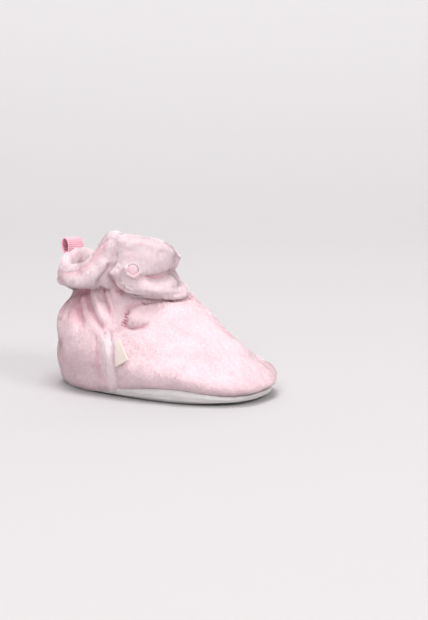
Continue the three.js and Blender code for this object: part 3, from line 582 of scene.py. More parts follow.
def outside(degrees, level):
    """The plain outside of the upper: level 0 is the sole seam, 1 the elastic and 2 the top of the cuff."""
    rise = np.clip(level, 0, 1)
    back = mix(-SOLE_LENGTH / 2, -ANKLE_SETBACK - ANKLE_LENGTH / 2, foot_share("back", rise))
    front = mix(SOLE_LENGTH / 2, -ANKLE_SETBACK + ANKLE_LENGTH / 2, foot_share("front", rise))
    half = mix(BALL_WIDTH / 2, ANKLE_WIDTH / 2, foot_share("side", rise))
    squareness = mix(SOLE_SQUARENESS, 1, smooth(0.1, 0.5, rise))
    x, y, ahead = outline(degrees, back, front, half, foot_share("taper", rise), squareness)
    slope = (ANKLE_HEIGHT_FRONT - ANKLE_HEIGHT_BACK) / 2
    crown = (ANKLE_HEIGHT_FRONT + ANKLE_HEIGHT_BACK) / 2 - ANKLE_HEIGHT_SIDE
    top = ANKLE_HEIGHT_SIDE + slope * ahead + crown * ahead**2
    point = on_foot(x, y, mix(seam_height(ahead), top, rise))
    above = np.clip(level - 1, 0, 1)
    flare = CUFF_FLARE * curve(CUFF_AROUND, "angle", "flare", degrees)
    point = point + outward(degrees) * (flare * curve(CUFF_PROFILE, "up", "out", above))[..., None]
    point[..., 2] += cuff_height(degrees) * above
    return point


def skin(degrees, level):
    """The plain outside, its direction, and how many millimetres one degree and one level are there."""
    degrees, level = np.broadcast_arrays(degrees, level)
    low = np.clip(level - 0.012, 0, 1.976)
    across = outside(degrees + 0.6, level) - outside(degrees - 0.6, level)
    upward = outside(degrees, low + 0.024) - outside(degrees, low)
    normal = np.cross(across, upward)
    normal /= np.linalg.norm(normal, axis=-1, keepdims=True)
    return (
        outside(degrees, level),
        normal,
        np.linalg.norm(across, axis=-1) / 1.2,
        np.linalg.norm(upward, axis=-1) / 0.024,
    )


def beside(line, degrees, level, around, up):
    """Millimetres from a line on the skin, positive on its left, and the share of the way along it."""
    rows = [dict(at=i, angle=point[0], level=point[1]) for i, point in enumerate(line)]
    steps = np.linspace(0, len(line) - 1, 4 * len(line))
    angles = curve(rows, "at", "angle", steps)
    levels = curve(rows, "at", "level", steps)
    nearest = np.full(degrees.shape, 1e3)
    share = np.zeros(degrees.shape)
    for i in range(len(steps) - 1):
        dx = (angles[i + 1] - angles[i]) * around
        dy = (levels[i + 1] - levels[i]) * up
        px = ((degrees - angles[i] + 540) % 360 - 180) * around
        py = (level - levels[i]) * up
        t = np.clip((px * dx + py * dy) / np.maximum(dx * dx + dy * dy, 1e-9), 0, 1)
        distance = np.hypot(px - t * dx, py - t * dy)
        closer = distance < np.abs(nearest)
        nearest = np.where(closer, np.copysign(distance, dx * py - dy * px), nearest)
        share = np.where(closer, (i + t) / (len(steps) - 1), share)
    return nearest, share


def folds_of(table, degrees, level, around, up):
    """Relief of a table of troughs and ridges, which fade at their ends unless they start at the elastic."""
    height = np.zeros(degrees.shape)
    for fold in table:
        near, share = beside(fold["line"], degrees, level, around, up)
        fade = 1 - smooth(0.7, 1, share)
        if fold["line"][0][1] != 1.0:
            fade = fade * smooth(0, 0.3, share)
        height -= fold["depth"] * fade * np.exp(-(np.abs(near / fold["width"]) ** 1.6))
    return height


def upper_relief(degrees, level, around, up):
    """Gathers, seams and folds of the vamp, the quarter and the cuff."""
    from_toe = np.abs(degrees)
    height = np.maximum(folds_of(GATHERS, degrees, level, around, up), -GATHER_DEPTH)
    height *= np.where(level > 1, 1 - smooth(1.0, 1.25, level), 1)
    height += folds_of(FOLDS, degrees, level, around, up)
    for over in OVERLAPS:
        near, share = beside(over["line"], degrees, level, around, up)
        fade = smooth(0, 0.25, share) * (1 - smooth(0.72, 0.97, share))
        drop = -over["drop"] * np.exp(-near / over["slope"]) * smooth(-0.5, 1.3, near)
        height += fade * (drop * (near > -0.5) + over["lip"] * np.exp(-((near + 1.6) ** 2) / 4))
    height -= ELASTIC_NIP * smooth(86, 98, from_toe) * np.exp(-(((level - 1) * up / 1.6) ** 2))
    height -= CUFF_BACK_SINK * smooth(110, 150, from_toe) * smooth(1.1, 1.4, level)
    swell = CUFF_SWELL * np.exp(-(((level - 1.26) / 0.19) ** 2))
    turned_out = swell - CUFF_TURN_IN * smooth(1.45, 1.9, level)
    height += turned_out * smooth(84, 92, from_toe) * (1 - 0.85 * smooth(112, 140, from_toe))
    height += HEEL_FILL * smooth(128, 160, from_toe) * np.exp(-(((level - 1) * up / 4.0) ** 2))
    seam = side_seam(level)
    edge = curve(VAMP_EDGE, "angle", "rise", from_toe)
    in_vamp = (from_toe < seam) & (level < edge)
    for way in (-1, 1):
        here = (np.sign(degrees) == way) | (degrees == 0)
        top = [(way * a, float(curve(VAMP_EDGE, "angle", "rise", a))) for a in VAMP_EDGE_ANGLES]
        near, share = beside(top, degrees, level, around, up)
        near = np.abs(near)
        height += np.where(in_vamp & here, VAMP_STEP * (1 - np.exp(-near / 1.2)) * np.exp(-near / 12), 0)
        groove = VAMP_GROOVE * np.exp(-(near**2)) * (1 - 0.7 * smooth(0.8, 0.9, share))
        height -= np.where(here, groove, 0)
        ease = np.maximum(0, np.cos(share * 2 * np.pi * VAMP_PUCKERS)) ** 2
        height -= np.where(here, VAMP_PUCKER_DEPTH * ease * np.exp(-((near - 1.3) ** 2)), 0)
        halfway = (way * (SIDE_SEAM_TOP + SIDE_SEAM_FOOT) / 2, 0.29)
        side_line = [(way * SIDE_SEAM_TOP, SIDE_SEAM_RISE), halfway, (way * SIDE_SEAM_FOOT, 0.0)]
        near, _ = beside(side_line, degrees, level, around, up)
        near = np.abs(near)
        height -= np.where(here, SIDE_SEAM_GROOVE * np.exp(-((near / 0.8) ** 2)), 0)
        behind = here & (from_toe > seam)
        puff = SIDE_STRIP_PUFF * np.exp(-(((near - 3.2) / 2.0) ** 2)) * (1 - smooth(0.55, 0.64, level))
        height += np.where(behind, puff, 0)
    return height


def sink(degrees, level):
    """How far the front layer lies back under the flap, as a share of the flap's room."""
    share = smooth(FLAP_OUTER_END, FLAP_INNER_END, degrees) * smooth(FLAP_LOW - 0.04, FLAP_LOW, level)
    return np.where(degrees > FLAP_INNER_END + 1.5, 0, share)


def set_back(degrees, level):
    """How far the front layer lies back under the flap, in millimetres along the outward direction."""
    return sink(degrees, level) * (FLAP_THICKNESS + FLAP_CLEARANCE)


def upper_surface(degrees, level):
    """The upper's outside with its relief and unevenness, and each point's painted shade, from how deep it
    lies in a fold.
    """
    point, normal, around, up = skin(degrees, level)
    back = sink(degrees, level)
    relief = upper_relief(degrees, level, around, up) * (1 - back)
    calm = smooth(0.0, 0.06, level) * (1 - back)
    uneven = 0.4 * lumps(point, 17, 3) + 0.06 * lumps(point, 6, 4)
    surface = point - outward(degrees) * set_back(degrees, level)[..., None]
    overhang = smooth(0.3, -0.6, point[..., 0] / (SOLE_LENGTH / 2)) * (1 - smooth(0, 0.13, level))
    surface[..., 2] -= HEEL_OVERHANG * overhang * smooth(0, 1, surface[..., 2] / (HEEL_OVERHANG + 1))
    # Painted highlight: the strip behind the side seam, where the plush puffs out, is painted paler.
    from_seam = (np.abs(degrees) - side_seam(level)) * around
    strip = smooth(0, 0.8, from_seam) * (1 - smooth(5.2, 6.4, from_seam)) * (1 - smooth(0.5, 0.58, level))
    # Painted shade: the deeper the plush lies in a fold, the more deep pink is painted on it.
    folds = np.clip(-(relief - 0.1) / FOLD_SHADE_DEPTH, 0, 1) - 0.7 * strip
    return surface + normal * (relief + uneven * calm)[..., None], folds


PILE_LENGTH = 1.3
PILE_WIDTH = 0.27
PILE_LEAN = 0.13
PILE_STRAY = 0.4
PILE_DROOP = 0.7
TUFT_WIDTH = 1.7
FOOT_FIBRES = 195000
# Painted shade on the inside and backs of the pieces.
INSIDE_SHADE = 0.3
# Painted highlight: the pale pink of the fibre tips.
TIP_HIGHLIGHT_PINK = (0.99, 0.875, 0.905, 1)
# Painted shade: the deep pink of folds and insides.
FOLD_SHADE_PINK = (0.9, 0.5, 0.575, 1)


def closed(rows):
    """Rows that go all round, with their first column again at the end."""
    return np.concatenate([rows, rows[:, :1]], axis=1)


def pile(name, grid, folds, share, count, seed, pale=1.0):
    """Short fibres of velour as one joined mesh, in soft tufts over a grid of points in millimetres."""
    pick = np.random.default_rng(seed)
    corner_at = grid[:-1, :-1].reshape(-1, 3)
    beside_it = grid[:-1, 1:].reshape(-1, 3) - corner_at
    above_it = grid[1:, :-1].reshape(-1, 3) - corner_at
    normal = np.cross(beside_it, above_it)
    area = np.linalg.norm(normal, axis=1)
    chance = area * np.broadcast_to(share, grid.shape[:2])[:-1, :-1].ravel()
    cell = pick.choice(len(area), count, p=chance / chance.sum())
    root = corner_at[cell] + beside_it[cell] * pick.random((count, 1))
    root = root + above_it[cell] * pick.random((count, 1))
    normal = normal[cell] / np.maximum(area[cell], 1e-9)[:, None]
    way = pick.normal(size=(count, 3)) * PILE_STRAY + np.array([0, 0, -PILE_DROOP])
    for size, strength in ((11, 0.35), (3.0, 0.28)):
        way += strength * np.stack([lumps(root, size, seed + k, 12) for k in range(3)], axis=1)
    way -= (way * normal).sum(axis=1, keepdims=True) * normal
    way /= np.linalg.norm(way, axis=1, keepdims=True)
    stand = PILE_LEAN + 0.05 * pick.normal(size=(count, 1))
    way = way * np.sqrt(np.clip(1 - stand**2, 0.05, 1)) + normal * stand
    side = np.cross(normal, way) + 0.07 * pick.normal(size=(count, 3))
    side /= np.linalg.norm(side, axis=1, keepdims=True)
    length = PILE_LENGTH * pick.uniform(0.7, 1.25, (count, 1))
    root = root + normal * 0.04
    foot_edge = side * PILE_WIDTH / 2
    points = np.stack([root + foot_edge, root - foot_edge, root + way * length], axis=1)
    mesh = bpy.data.meshes.new(name)
    mesh.vertices.add(3 * count)
    mesh.vertices.foreach_set("co", (points * MM).ravel())
    mesh.loops.add(3 * count)
    mesh.loops.foreach_set("vertex_index", np.arange(3 * count))
    mesh.polygons.add(count)
    mesh.polygons.foreach_set("loop_start", np.arange(0, 3 * count, 3))
    mesh.polygons.foreach_set("use_smooth", np.ones(count, bool))
    mesh.update(calc_edges=True)
    # Painted shade of the fold under each fibre.
    deep = np.repeat(folds[:-1, :-1].ravel()[cell], 3)
    tuft = lumps(root * np.array([1, 1, 0.6]), TUFT_WIDTH, seed + 5, 20)
    tuft = np.clip(0.66 + 0.22 * tuft, 0, 1)
    # Tone differs at random by tuft and fibre. The tip is painted paler than the root, a painted highlight,
    # and pale makes a whole piece paler, also a painted highlight.
    tone_and_highlight = pale * (tuft * pick.uniform(0.6, 1.2, count))[:, None] * np.array([[0.5, 0.5, 1.0]])
    mesh.attributes.new("fold", "FLOAT", "POINT").data.foreach_set("value", deep)
    mesh.attributes.new("tone_and_highlight", "FLOAT", "POINT").data.foreach_set("value", tone_and_highlight.ravel())
    soft_normal = normal + np.array([0, 0, 0.22]) + 0.26 * pick.normal(size=(count, 3))
    soft_normal /= np.linalg.norm(soft_normal, axis=1, keepdims=True)
    mesh.normals_split_custom_set_from_vertices(np.repeat(soft_normal, 3, axis=0).tolist())
    piece = bpy.data.objects.new(name, mesh)
    bpy.context.scene.collection.objects.link(piece)
    return piece


# Velour: random patches of pink. A pale tip pink is mixed in as a painted highlight on fibre tips and on the
# cuff and flap, and a deep pink is mixed into folds and insides as painted shade.
velour, shader, place = finish("velour", Sheen_Weight=0.6, Sheen_Roughness=0.4, Specular_IOR_Level=0.1)
shader.inputs["Sheen Tint"].default_value = (1.0, 0.93, 0.95, 1)
fold_shade = place.node("Attribute", {"attribute_name": "fold"}, {}, 2)
fibre_tone_and_highlight = place.node("Attribute", {"attribute_name": "tone_and_highlight"}, {}, 2)
tufts = place.noise(1.1, 3, (1, 1, 1.5))
brushed = place.noise(7, 3, (1, 1, 1.4))
pink = (brushed * 1.6 - 0.3).clamp().colours((0.84, 0.57, 0.635, 1), (0.91, 0.67, 0.725, 1))
# Painted highlight: the tone attribute mixes the pale tip pink over the random pink, less where there is fold
# shade.
paleness = (fibre_tone_and_highlight - fold_shade * 0.6).clamp()
tipped = fibre_tone_and_highlight.node("Mix", {"data_type": "RGBA"}, {0: paleness, 6: pink, 7: TIP_HIGHLIGHT_PINK}, 2)
# Painted shade: the deep fold pink mixed in where the fold attribute is high.
shaded = fold_shade.clamp() * 0.7
feed(
    shader,
    Base_Color=shaded.node("Mix", {"data_type": "RGBA"}, {0: shaded, 6: tipped, 7: FOLD_SHADE_PINK}, 2),
    Roughness=tufts * 0.2 + 0.8,
    Normal=tufts.bump(0.4, 0.25),
)

columns = np.arange(0, 360, 0.75) - 180
below = 1 - (1 - np.linspace(0, 1, 92)) ** 1.25
above = np.linspace(0, 1, 32)[1:]
edge = curve(VAMP_EDGE, "angle", "rise", np.abs(columns))
level = np.concatenate([edge * below[:, None], edge + (1 - edge) * above[:, None]])
outer, folds = upper_surface(np.broadcast_to(columns, level.shape), level)
inner_level = np.linspace(1, 0, 12)[:, None] * np.ones_like(columns)
degrees = np.broadcast_to(columns, inner_level.shape)
point, normal, around, up = skin(degrees, inner_level)
folded = 0.6 * np.minimum(0, upper_relief(degrees, inner_level, around, up))
inner = point - outward(degrees) * set_back(degrees, inner_level)[..., None]
inner = inner + normal * (folded - UPPER_WALL)[..., None]
grid = np.concatenate([outer, inner])
# Painted shade: from the folds outside, and an even share inside.
deep = np.concatenate([folds, np.full(inner_level.shape, INSIDE_SHADE)])
foot = cloth("plush_foot", grid, looped=True, folds=deep, tone_and_highlight=0.1)
set_piece(foot, velour, "plush", "upper")
foot_pile = pile("foot_pile", closed(outer), closed(folds), 1.0, FOOT_FIBRES, 51)
set_piece(foot_pile, velour, "plush", "upper")

# Seam stitches: thread that eases the corner of the vamp into the quarter on each side. Its deep pink is
# partly the thread's colour and partly painted shade, for the shadows between the seam's puckers. Each stitch
# crosses the seam and sinks into the plush at both ends.
STITCH_THREAD = 0.62
STITCHES_PER_SIDE = 5
STITCH_RISES = [0.64, 0.72, 0.825]
STITCH_ANGLES = [82.6, 79.6, 74.6]
thread_and_shade_pink, shader, place = finish("seam_thread_shade", Roughness=0.6, Specular_IOR_Level=0.2)
twist = place.noise(0.3, 2)
# Painted shade: the deep pink of the thread stands partly for the shadows between the puckers.
feed(
    shader,
    Base_Color=twist.colours((0.62, 0.2, 0.29, 1), (0.74, 0.3, 0.39, 1)),
    Normal=twist.bump(0.4, 0.08),
)
threads = []
for way in (-1, 1):
    for rise in np.linspace(0.65, 0.765, STITCHES_PER_SIDE):
        middle = way * np.interp(rise, STITCH_RISES, STITCH_ANGLES)
        along = np.linspace(-1, 1, 9)
        angles = middle + 1.5 * along
        spots, _ = upper_surface(angles, rise + 0.012 * along * way)
        spots = spots + outward(angles) * (0.35 - 0.8 * along**4)[:, None]
        ahead = np.gradient(spots, axis=0)
        across = np.cross(ahead, outward(angles))
        across /= np.linalg.norm(across, axis=1, keepdims=True)
        out = np.cross(across, ahead)
        out /= np.linalg.norm(out, axis=1, keepdims=True)
        turn = np.radians(np.arange(0, 360, 45))[None, :, None]
        ring = np.cos(turn) * across[:, None] + np.sin(turn) * out[:, None]
        threads.append(spots[:, None] + STITCH_THREAD / 2 * ring)
pieces = [cloth("seam_stitches", thread[:, ::-1], capped=True) for thread in threads]
with bpy.context.temp_override(active_object=pieces[0], selected_editable_objects=pieces):
    bpy.ops.object.join()
stitches = pieces[0]
stitches.data.materials.append(thread_and_shade_pink)
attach(stitches, "root")

# Cuff: a doubled and padded band of the same velour above the elastic, turned out at the back. Its front
# layer lies under the ankle flap and ends at a slit on the inner side.
CUFF_WALL = 5
THROAT_SLIT_ANGLE = 42
CUFF_ROLL = 7
CUFF_TOP = 1.92
CUFF_BACK_RISE = 3.0
CUFF_FIBRES = 150000
slit = np.abs(columns - THROAT_SLIT_ANGLE) < 1.2
covered = smooth(-85, -70, columns) * (columns < FLAP_INNER_END + 1.5)
wall = mix(CUFF_ROLL, UPPER_WALL, covered)
cuff_top = mix(2 - (wall / 2 - 0.3) / cuff_height(columns), FLAP_HIGH - 0.09, covered)


def cuff_levels(levels):
    """Rows of the cuff, which stay low where the layer under the flap ends at the slit."""
    rows = 1 + (levels[:, None] - 1) * np.where(levels[:, None] > 1, (cuff_top - 1) / (CUFF_TOP - 1), 1)
    return np.where(slit, np.minimum(rows, 1.03), rows)


outer_level = cuff_levels(np.concatenate([np.linspace(1.0, 1.2, 22), np.linspace(1.2, CUFF_TOP, 48)[1:]]))
outer, folds = upper_surface(np.broadcast_to(columns, outer_level.shape), outer_level)
tucked, _ = upper_surface(columns[None, :], np.full((1, columns.size), 0.985))
tucked = tucked - outward(columns) * 0.8
inner_level = cuff_levels(np.linspace(CUFF_TOP, 0.965, 16))
degrees = np.broadcast_to(columns, inner_level.shape)
point, normal, around, up = skin(degrees, inner_level)
thick = mix(UPPER_WALL, wall, smooth(1.0, 1.35, inner_level))
folded = 0.5 * np.minimum(0, upper_relief(degrees, inner_level, around, up))
inner = point - outward(degrees) * set_back(degrees, inner_level)[..., None]
inner = inner - outward(degrees) * (thick - folded + 0.3 * lumps(point, 14, 24))[..., None]
rim = []
for turn in np.radians(np.linspace(0, 180, 14)[1:-1]):
    ridge = mix(outer[-1], inner[0], (1 - math.cos(turn)) / 2)
    ridge[:, 2] += wall / 2 * math.sin(turn) * np.where(slit, 0.2, 1)
    rim.append(ridge)
grid = np.concatenate([tucked, outer, np.stack(rim), inner])
# Painted shade: from the folds outside, none on the rim, and an even share inside.
inside_shade = np.full(inner.shape[:2], INSIDE_SHADE)
deep = np.concatenate([folds[:1], folds, np.zeros((len(rim), columns.size)), inside_shade])
behind = 1 - smooth(12, 30, 180 - np.abs(columns))
grid[..., 2] += CUFF_BACK_RISE * behind * smooth(12, 16, (grid[..., 2] - ANKLE_HEIGHT_BACK))
# Painted highlight: the cuff and its pile are painted paler than the foot, for the light they catch.
cuff = cloth("padded_cuff", grid, looped=True, folds=deep, tone_and_highlight=0.5)
set_piece(cuff, velour, "plush", "upper")
cuff_pile = pile("cuff_pile", closed(grid), closed(deep), 1.0, CUFF_FIBRES, 61, 1.5)
set_piece(cuff_pile, velour, "plush", "upper")

# Ankle flap: a padded band of velour, sewn into the cuff on the inner side and wrapped over the front of the
# ankle to its rounded end on the outer side, where the snap holds it. A crease parts it into two soft rolls.
FLAP_END_SLANT = 7
FLAP_CORNER_RISE = 0.57
FLAP_CORNER_REACH = 0.15
FLAP_TOP_DROP = 0.16
FLAP_TOP_REACH = 0.06
FLAP_PUFF = 1.4
FLAP_CREASE = 1.6
FLAP_CREASE_UP = 9.3
FLAP_CREASE_CLIMB = 2.8
FLAP_CREASE_CREST = -12
FLAP_CREASE_SPREAD = 18
FLAP_CREASE_WIDTH = 2.2
FLAP_LEAST = 0.8
FLAP_LOWER_ROLL = 2.2
FLAP_UPPER_ROLL = 1.3
FLAP_ROLL_GAP = 1.2
# Depth of a fold at which the flap gets its full painted shade.
FLAP_FOLD_SHADE_DEPTH = 1.6
FLAP_FIBRES = 160000
NAP_LINE_PITCH = 1.25
NAP_LINE_HEIGHT = 0.34
SNAP_DIAMETER = 6.2
SNAP_COVERED_SIDE = 245
SNAP_PRESS_OUT = 3.2
SNAP_PRESS_IN = 0.9
SNAP_PRESS_DEPTH = 8
SNAP_NAP = 1.1
SNAPS = [
    dict(name="outer", angle=-61, up=13.2, nap=1.0),
    dict(name="front", angle=33, up=14, nap=0.3),
]
FLAP_EDGE = (
    (-75, 1.86), (-74.8, 1.72), (-75.5, 1.52), (-78, 1.43), (-80.2, 1.36), (-79, 1.276), (-77, 1.19),
    (-74.8, 1.12), (-71.5, 1.07), (-67, 1.024), (-61, 0.992), (-52, 0.98), (-40, 0.98),
)
FLAP_FOLDS = [
    dict(line=((-53, 1.34), (-46, 1.31), (-37, 1.3), (-29, 1.35)), depth=0.7, width=1.1),
    dict(line=((-44, 1.6), (-36, 1.5), (-28, 1.42)), depth=0.4, width=1.8),
    dict(line=((-40, 1.85), (-30, 1.7), (-16, 1.66)), depth=0.4, width=3.0),
    dict(line=((-50, 1.14), (-35, 1.13), (-18, 1.12)), depth=-0.5, width=2.6),
    dict(line=((37, 1.85), (34, 1.5), (32, 1.2)), depth=-1.0, width=6.0),
    dict(line=((-25, 2.0), (0, 1.98), (22, 1.96), (45, 1.92)), depth=1.2, width=4.5),
    dict(line=((40, 1.1), (52, 1.25), (64, 1.3)), depth=0.3, width=2.4),
]


def corner(share):
    return 1 - np.sqrt(1 - np.clip(share, 0, 1) ** 2)


def flap_low(share):
    return FLAP_LOW + FLAP_CORNER_RISE * corner((share - 1 + FLAP_CORNER_REACH) / FLAP_CORNER_REACH)


def flap_high(share):
    return FLAP_HIGH - FLAP_TOP_DROP * corner((share - 1 + FLAP_TOP_REACH) / FLAP_TOP_REACH)


def flap_angle(share, level):
    slant = FLAP_END_SLANT * smooth(1.34, 1.55, level) * smooth(0.75, 1, share)
    return mix(FLAP_INNER_END - 1, FLAP_OUTER_END, share) + slant


def above_crease(degrees, level):
    """Height over the crease between the flap's two rolls, in millimetres."""
    crest = np.exp(-(((degrees - FLAP_CREASE_CREST) / FLAP_CREASE_SPREAD) ** 2))
    return (level - 1) * cuff_height(degrees) - (FLAP_CREASE_UP + FLAP_CREASE_CLIMB * crest)


def flap_padding(degrees, level):
    crease = np.exp(-((above_crease(degrees, level) / FLAP_CREASE_WIDTH) ** 2)) * smooth(-58, -40, degrees)
    return FLAP_PUFF * (1 - crease) - FLAP_CREASE * crease


def flap_middle(degrees, level):
    return FLAP_CLEARANCE + FLAP_THICKNESS / 2 - set_back(degrees, level)


def flap_outside(degrees, level):
    out = flap_middle(degrees, level) + FLAP_THICKNESS / 2 + flap_padding(degrees, level)
    return outside(degrees, level) + outward(degrees) * out[..., None]


def edge_round(distance, radius):
    return np.sqrt(1 - (1 - np.clip(distance / radius, 0, 1)) ** 2)


def snap_seat(snap):
    """Point and direction of a snap's flat back, which lies on the highest point of the flap under it."""
    radius = SNAP_DIAMETER / 2
    angle = np.array(float(snap["angle"]))
    height = cuff_height(angle)
    level = 1 + snap["up"] / height
    turn = np.degrees(2 * radius / ANKLE_WIDTH)
    rise = radius / height
    centre = flap_outside(angle, level)
    across = flap_outside(angle + turn, level) - flap_outside(angle - turn, level)
    normal = np.cross(across, flap_outside(angle, level + rise) - flap_outside(angle, level - rise))
    normal /= np.linalg.norm(normal)
    i, j = np.meshgrid(np.linspace(-1, 1, 9), np.linspace(-1, 1, 9))
    highest = ((flap_outside(angle + turn * i, level + rise * j) - centre) @ normal).max()
    return centre + normal * (highest + CLEARANCE), normal


length = np.radians(FLAP_INNER_END - FLAP_OUTER_END) * (ANKLE_LENGTH + ANKLE_WIDTH) / 4
half_turn = np.linspace(0, np.pi, 270)
along_flap = 0.5 - 0.5 * np.cos(half_turn) * (0.55 + 0.45 * np.abs(np.cos(half_turn)))
half_turn = np.linspace(0, np.pi, 108)
up_flap = 0.5 - 0.5 * np.cos(half_turn) * (0.5 + 0.5 * np.abs(np.cos(half_turn)))
share, v = np.meshgrid(along_flap, up_flap)
level = mix(flap_low(share), flap_high(share), v)
degrees = flap_angle(share, level)
point, normal, around, up = skin(degrees, level)
tall = CUFF_HEIGHT * (flap_high(share) - flap_low(share))
edge = np.minimum(share, 1 - share) * length
from_edge = np.minimum(np.minimum(v, 1 - v) * tall, edge)
end_near, end_share = beside(FLAP_EDGE, degrees, level, around, up)
end_near = np.abs(end_near)
from_edge = np.minimum(from_edge, np.where(share > 0.7, end_near, 99))


relief = folds_of(FLAP_FOLDS, degrees, level, around, up)
from_crease = above_crease(degrees, level)
lower_roll = FLAP_LOWER_ROLL * np.exp(-(((from_crease + 5.5) / 3.3) ** 2))
upper_roll = FLAP_UPPER_ROLL * np.exp(-(((from_crease - 8) / 5.5) ** 2))
rolls = lower_roll + upper_roll - FLAP_ROLL_GAP * np.exp(-((from_crease / 1.7) ** 2))
relief += rolls * smooth(-62, -46, degrees) * (1 - smooth(20, 50, degrees))
nap_lines = np.cos(2 * np.pi * (end_near + 0.5 * lumps(point, 6, 41)) / NAP_LINE_PITCH)
near_end = np.exp(-(((end_near - 2.6) / 2.0) ** 2))
near_end = near_end * smooth(0.1, 0.25, end_share) * (1 - smooth(0.72, 0.86, end_share))
relief += NAP_LINE_HEIGHT * nap_lines * near_end
puckers = 0.05 * lumps(point, 3.6, 31) * np.exp(-(((from_edge - 1.8) / 2.2) ** 2))
uneven = 0.35 * lumps(point, 14, 32) + 0.05 * lumps(point, 5, 33)
padding = flap_padding(degrees, level) * smooth(0, 8, edge)
height = padding + (relief + uneven) * smooth(0, 3, from_edge) + puckers
height = np.maximum(height, FLAP_LEAST - FLAP_THICKNESS / 2)
rounded = edge_round(from_edge, 4.2)
out = flap_middle(degrees, level) + rounded * (FLAP_THICKNESS / 2 + height)
front = point + outward(degrees) * out[..., None]
for snap in SNAPS:
    seat, way = snap_seat(snap)
    across = front - seat
    lift = across @ way
    flat = across - lift[..., None] * way
    near = np.linalg.norm(flat, axis=-1)
    reach = np.where(lift > 0, SNAP_PRESS_OUT, SNAP_PRESS_IN)
    close_by = np.abs(lift) < SNAP_PRESS_DEPTH
    pressed = (1 - smooth(SNAP_DIAMETER / 2 - 0.3, SNAP_DIAMETER / 2 + reach, near)) * close_by
    side = np.cross([0, 0, 1.0], way)
    turn = np.arctan2(flat[..., 2], flat @ (side / np.linalg.norm(side)))
    nap_side = SNAP_NAP * smooth(-0.45, 0.1, np.cos(turn - math.radians(SNAP_COVERED_SIDE)))
    nap_ring = snap["nap"] * nap_side * np.exp(-(((near - SNAP_DIAMETER / 2 - 0.1) / 0.75) ** 2)) * close_by
    front = front - way * (lift * pressed - nap_ring)[..., None]
rounded = edge_round(from_edge, FLAP_THICKNESS / 2)
rear = point + outward(degrees) * (flap_middle(degrees, level) - rounded * FLAP_THICKNESS / 2)[..., None]
band = np.concatenate([front[:, ::-1], rear[:, 1:-1]], axis=1)
# Painted shade in the flap's folds, fading near its edges, and an even share on its back.
deep = np.clip(-(relief - 0.1) / FLAP_FOLD_SHADE_DEPTH, 0, 1) * smooth(0, 5, from_edge)
deep = np.concatenate([deep[:, ::-1], np.full((len(band), rear.shape[1] - 2), INSIDE_SHADE)], axis=1)
# Painted highlight: the flap and its pile are painted paler than the foot, for the light they catch.
flap = cloth("padded_ankle_flap", band, folds=deep, tone_and_highlight=0.4)
set_piece(flap, velour, "plush", "ankle_flap")
bare = np.zeros(front.shape[:2])
for snap in SNAPS:
    seat, way = snap_seat(snap)
    bare += np.linalg.norm(front - seat, axis=-1) < SNAP_DIAMETER / 2
front_shade = deep[:, : front.shape[1]]
flap_pile = pile("flap_pile", front[:, ::-1], front_shade, (bare == 0)[:, ::-1], FLAP_FIBRES, 71, 1.4)
set_piece(flap_pile, velour, "plush", "ankle_flap")

# Snaps: pale pink pressed caps, each held by a thin steel ring. The outer one is closed, and the front one is
# for another fit.
SNAP_THICKNESS = 1.1
SNAP_PROFILE = [
    dict(radius=0.86, height=0.0),
    dict(radius=0.87, height=0.35),
    dict(radius=0.84, height=0.6),
    dict(radius=0.74, height=0.78),
    dict(radius=0.5, height=0.9),
    dict(radius=0.25, height=0.96),
    dict(radius=0.04, height=0.97),
]
RING_PROFILE = [
    dict(radius=0.87, height=0.05),
    dict(radius=0.93, height=0.0),
    dict(radius=0.99, height=0.12),
    dict(radius=1.0, height=0.35),
    dict(radius=0.97, height=0.6),
    dict(radius=0.92, height=0.7),
    dict(radius=0.875, height=0.6),
    dict(radius=0.86, height=0.35),
]
cap_pink, shader, place = finish("pressed_cap", Roughness=0.42, Coat_Weight=0.15, Coat_Roughness=0.3)
feed(
    shader,
    Base_Color=place.noise(1.5, 2).colours((0.8, 0.56, 0.62, 1), (0.86, 0.63, 0.69, 1)),
    Normal=place.noise(0.6, 2).bump(0.15, 0.05),
)
ring_steel, shader, place = finish("ring_steel", Metallic=0.9, Roughness=0.32)
feed(
    shader,
    Base_Color=place.noise(0.8, 2).colours((0.36, 0.34, 0.34, 1), (0.55, 0.53, 0.53, 1)),
    Roughness=place.noise(0.5, 2) * 0.2 + 0.22,
)


def turned(name, snap, profile, looped):
    """A round piece on a snap's seat, from shares of its radius and thickness."""
    seat, way = snap_seat(snap)
    side = np.cross([0, 0, 1.0], way)
    side /= np.linalg.norm(side)
    upwards = np.cross(way, side)
    turn = np.radians(np.arange(0, 360, 7.5))[None, :, None]
    radius = np.array([row["radius"] for row in profile])[:, None, None] * SNAP_DIAMETER / 2
    height = np.array([row["height"] for row in profile])[:, None, None] * SNAP_THICKNESS
    grid = seat + radius * (np.cos(turn) * side + np.sin(turn) * upwards) + height * way
    return cloth(name, grid, looped=looped, capped=not looped)


for snap in SNAPS:
    cap = turned(f"snap_cap_{snap['name']}_face", snap, SNAP_PROFILE, False)
    set_piece(cap, cap_pink, "snap_plastic", f"snap_cap_{snap['name']}")
    ring = turned(f"snap_ring_{snap['name']}", snap, RING_PROFILE, True)
    ring.data.materials.append(ring_steel)
    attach(ring, "root")

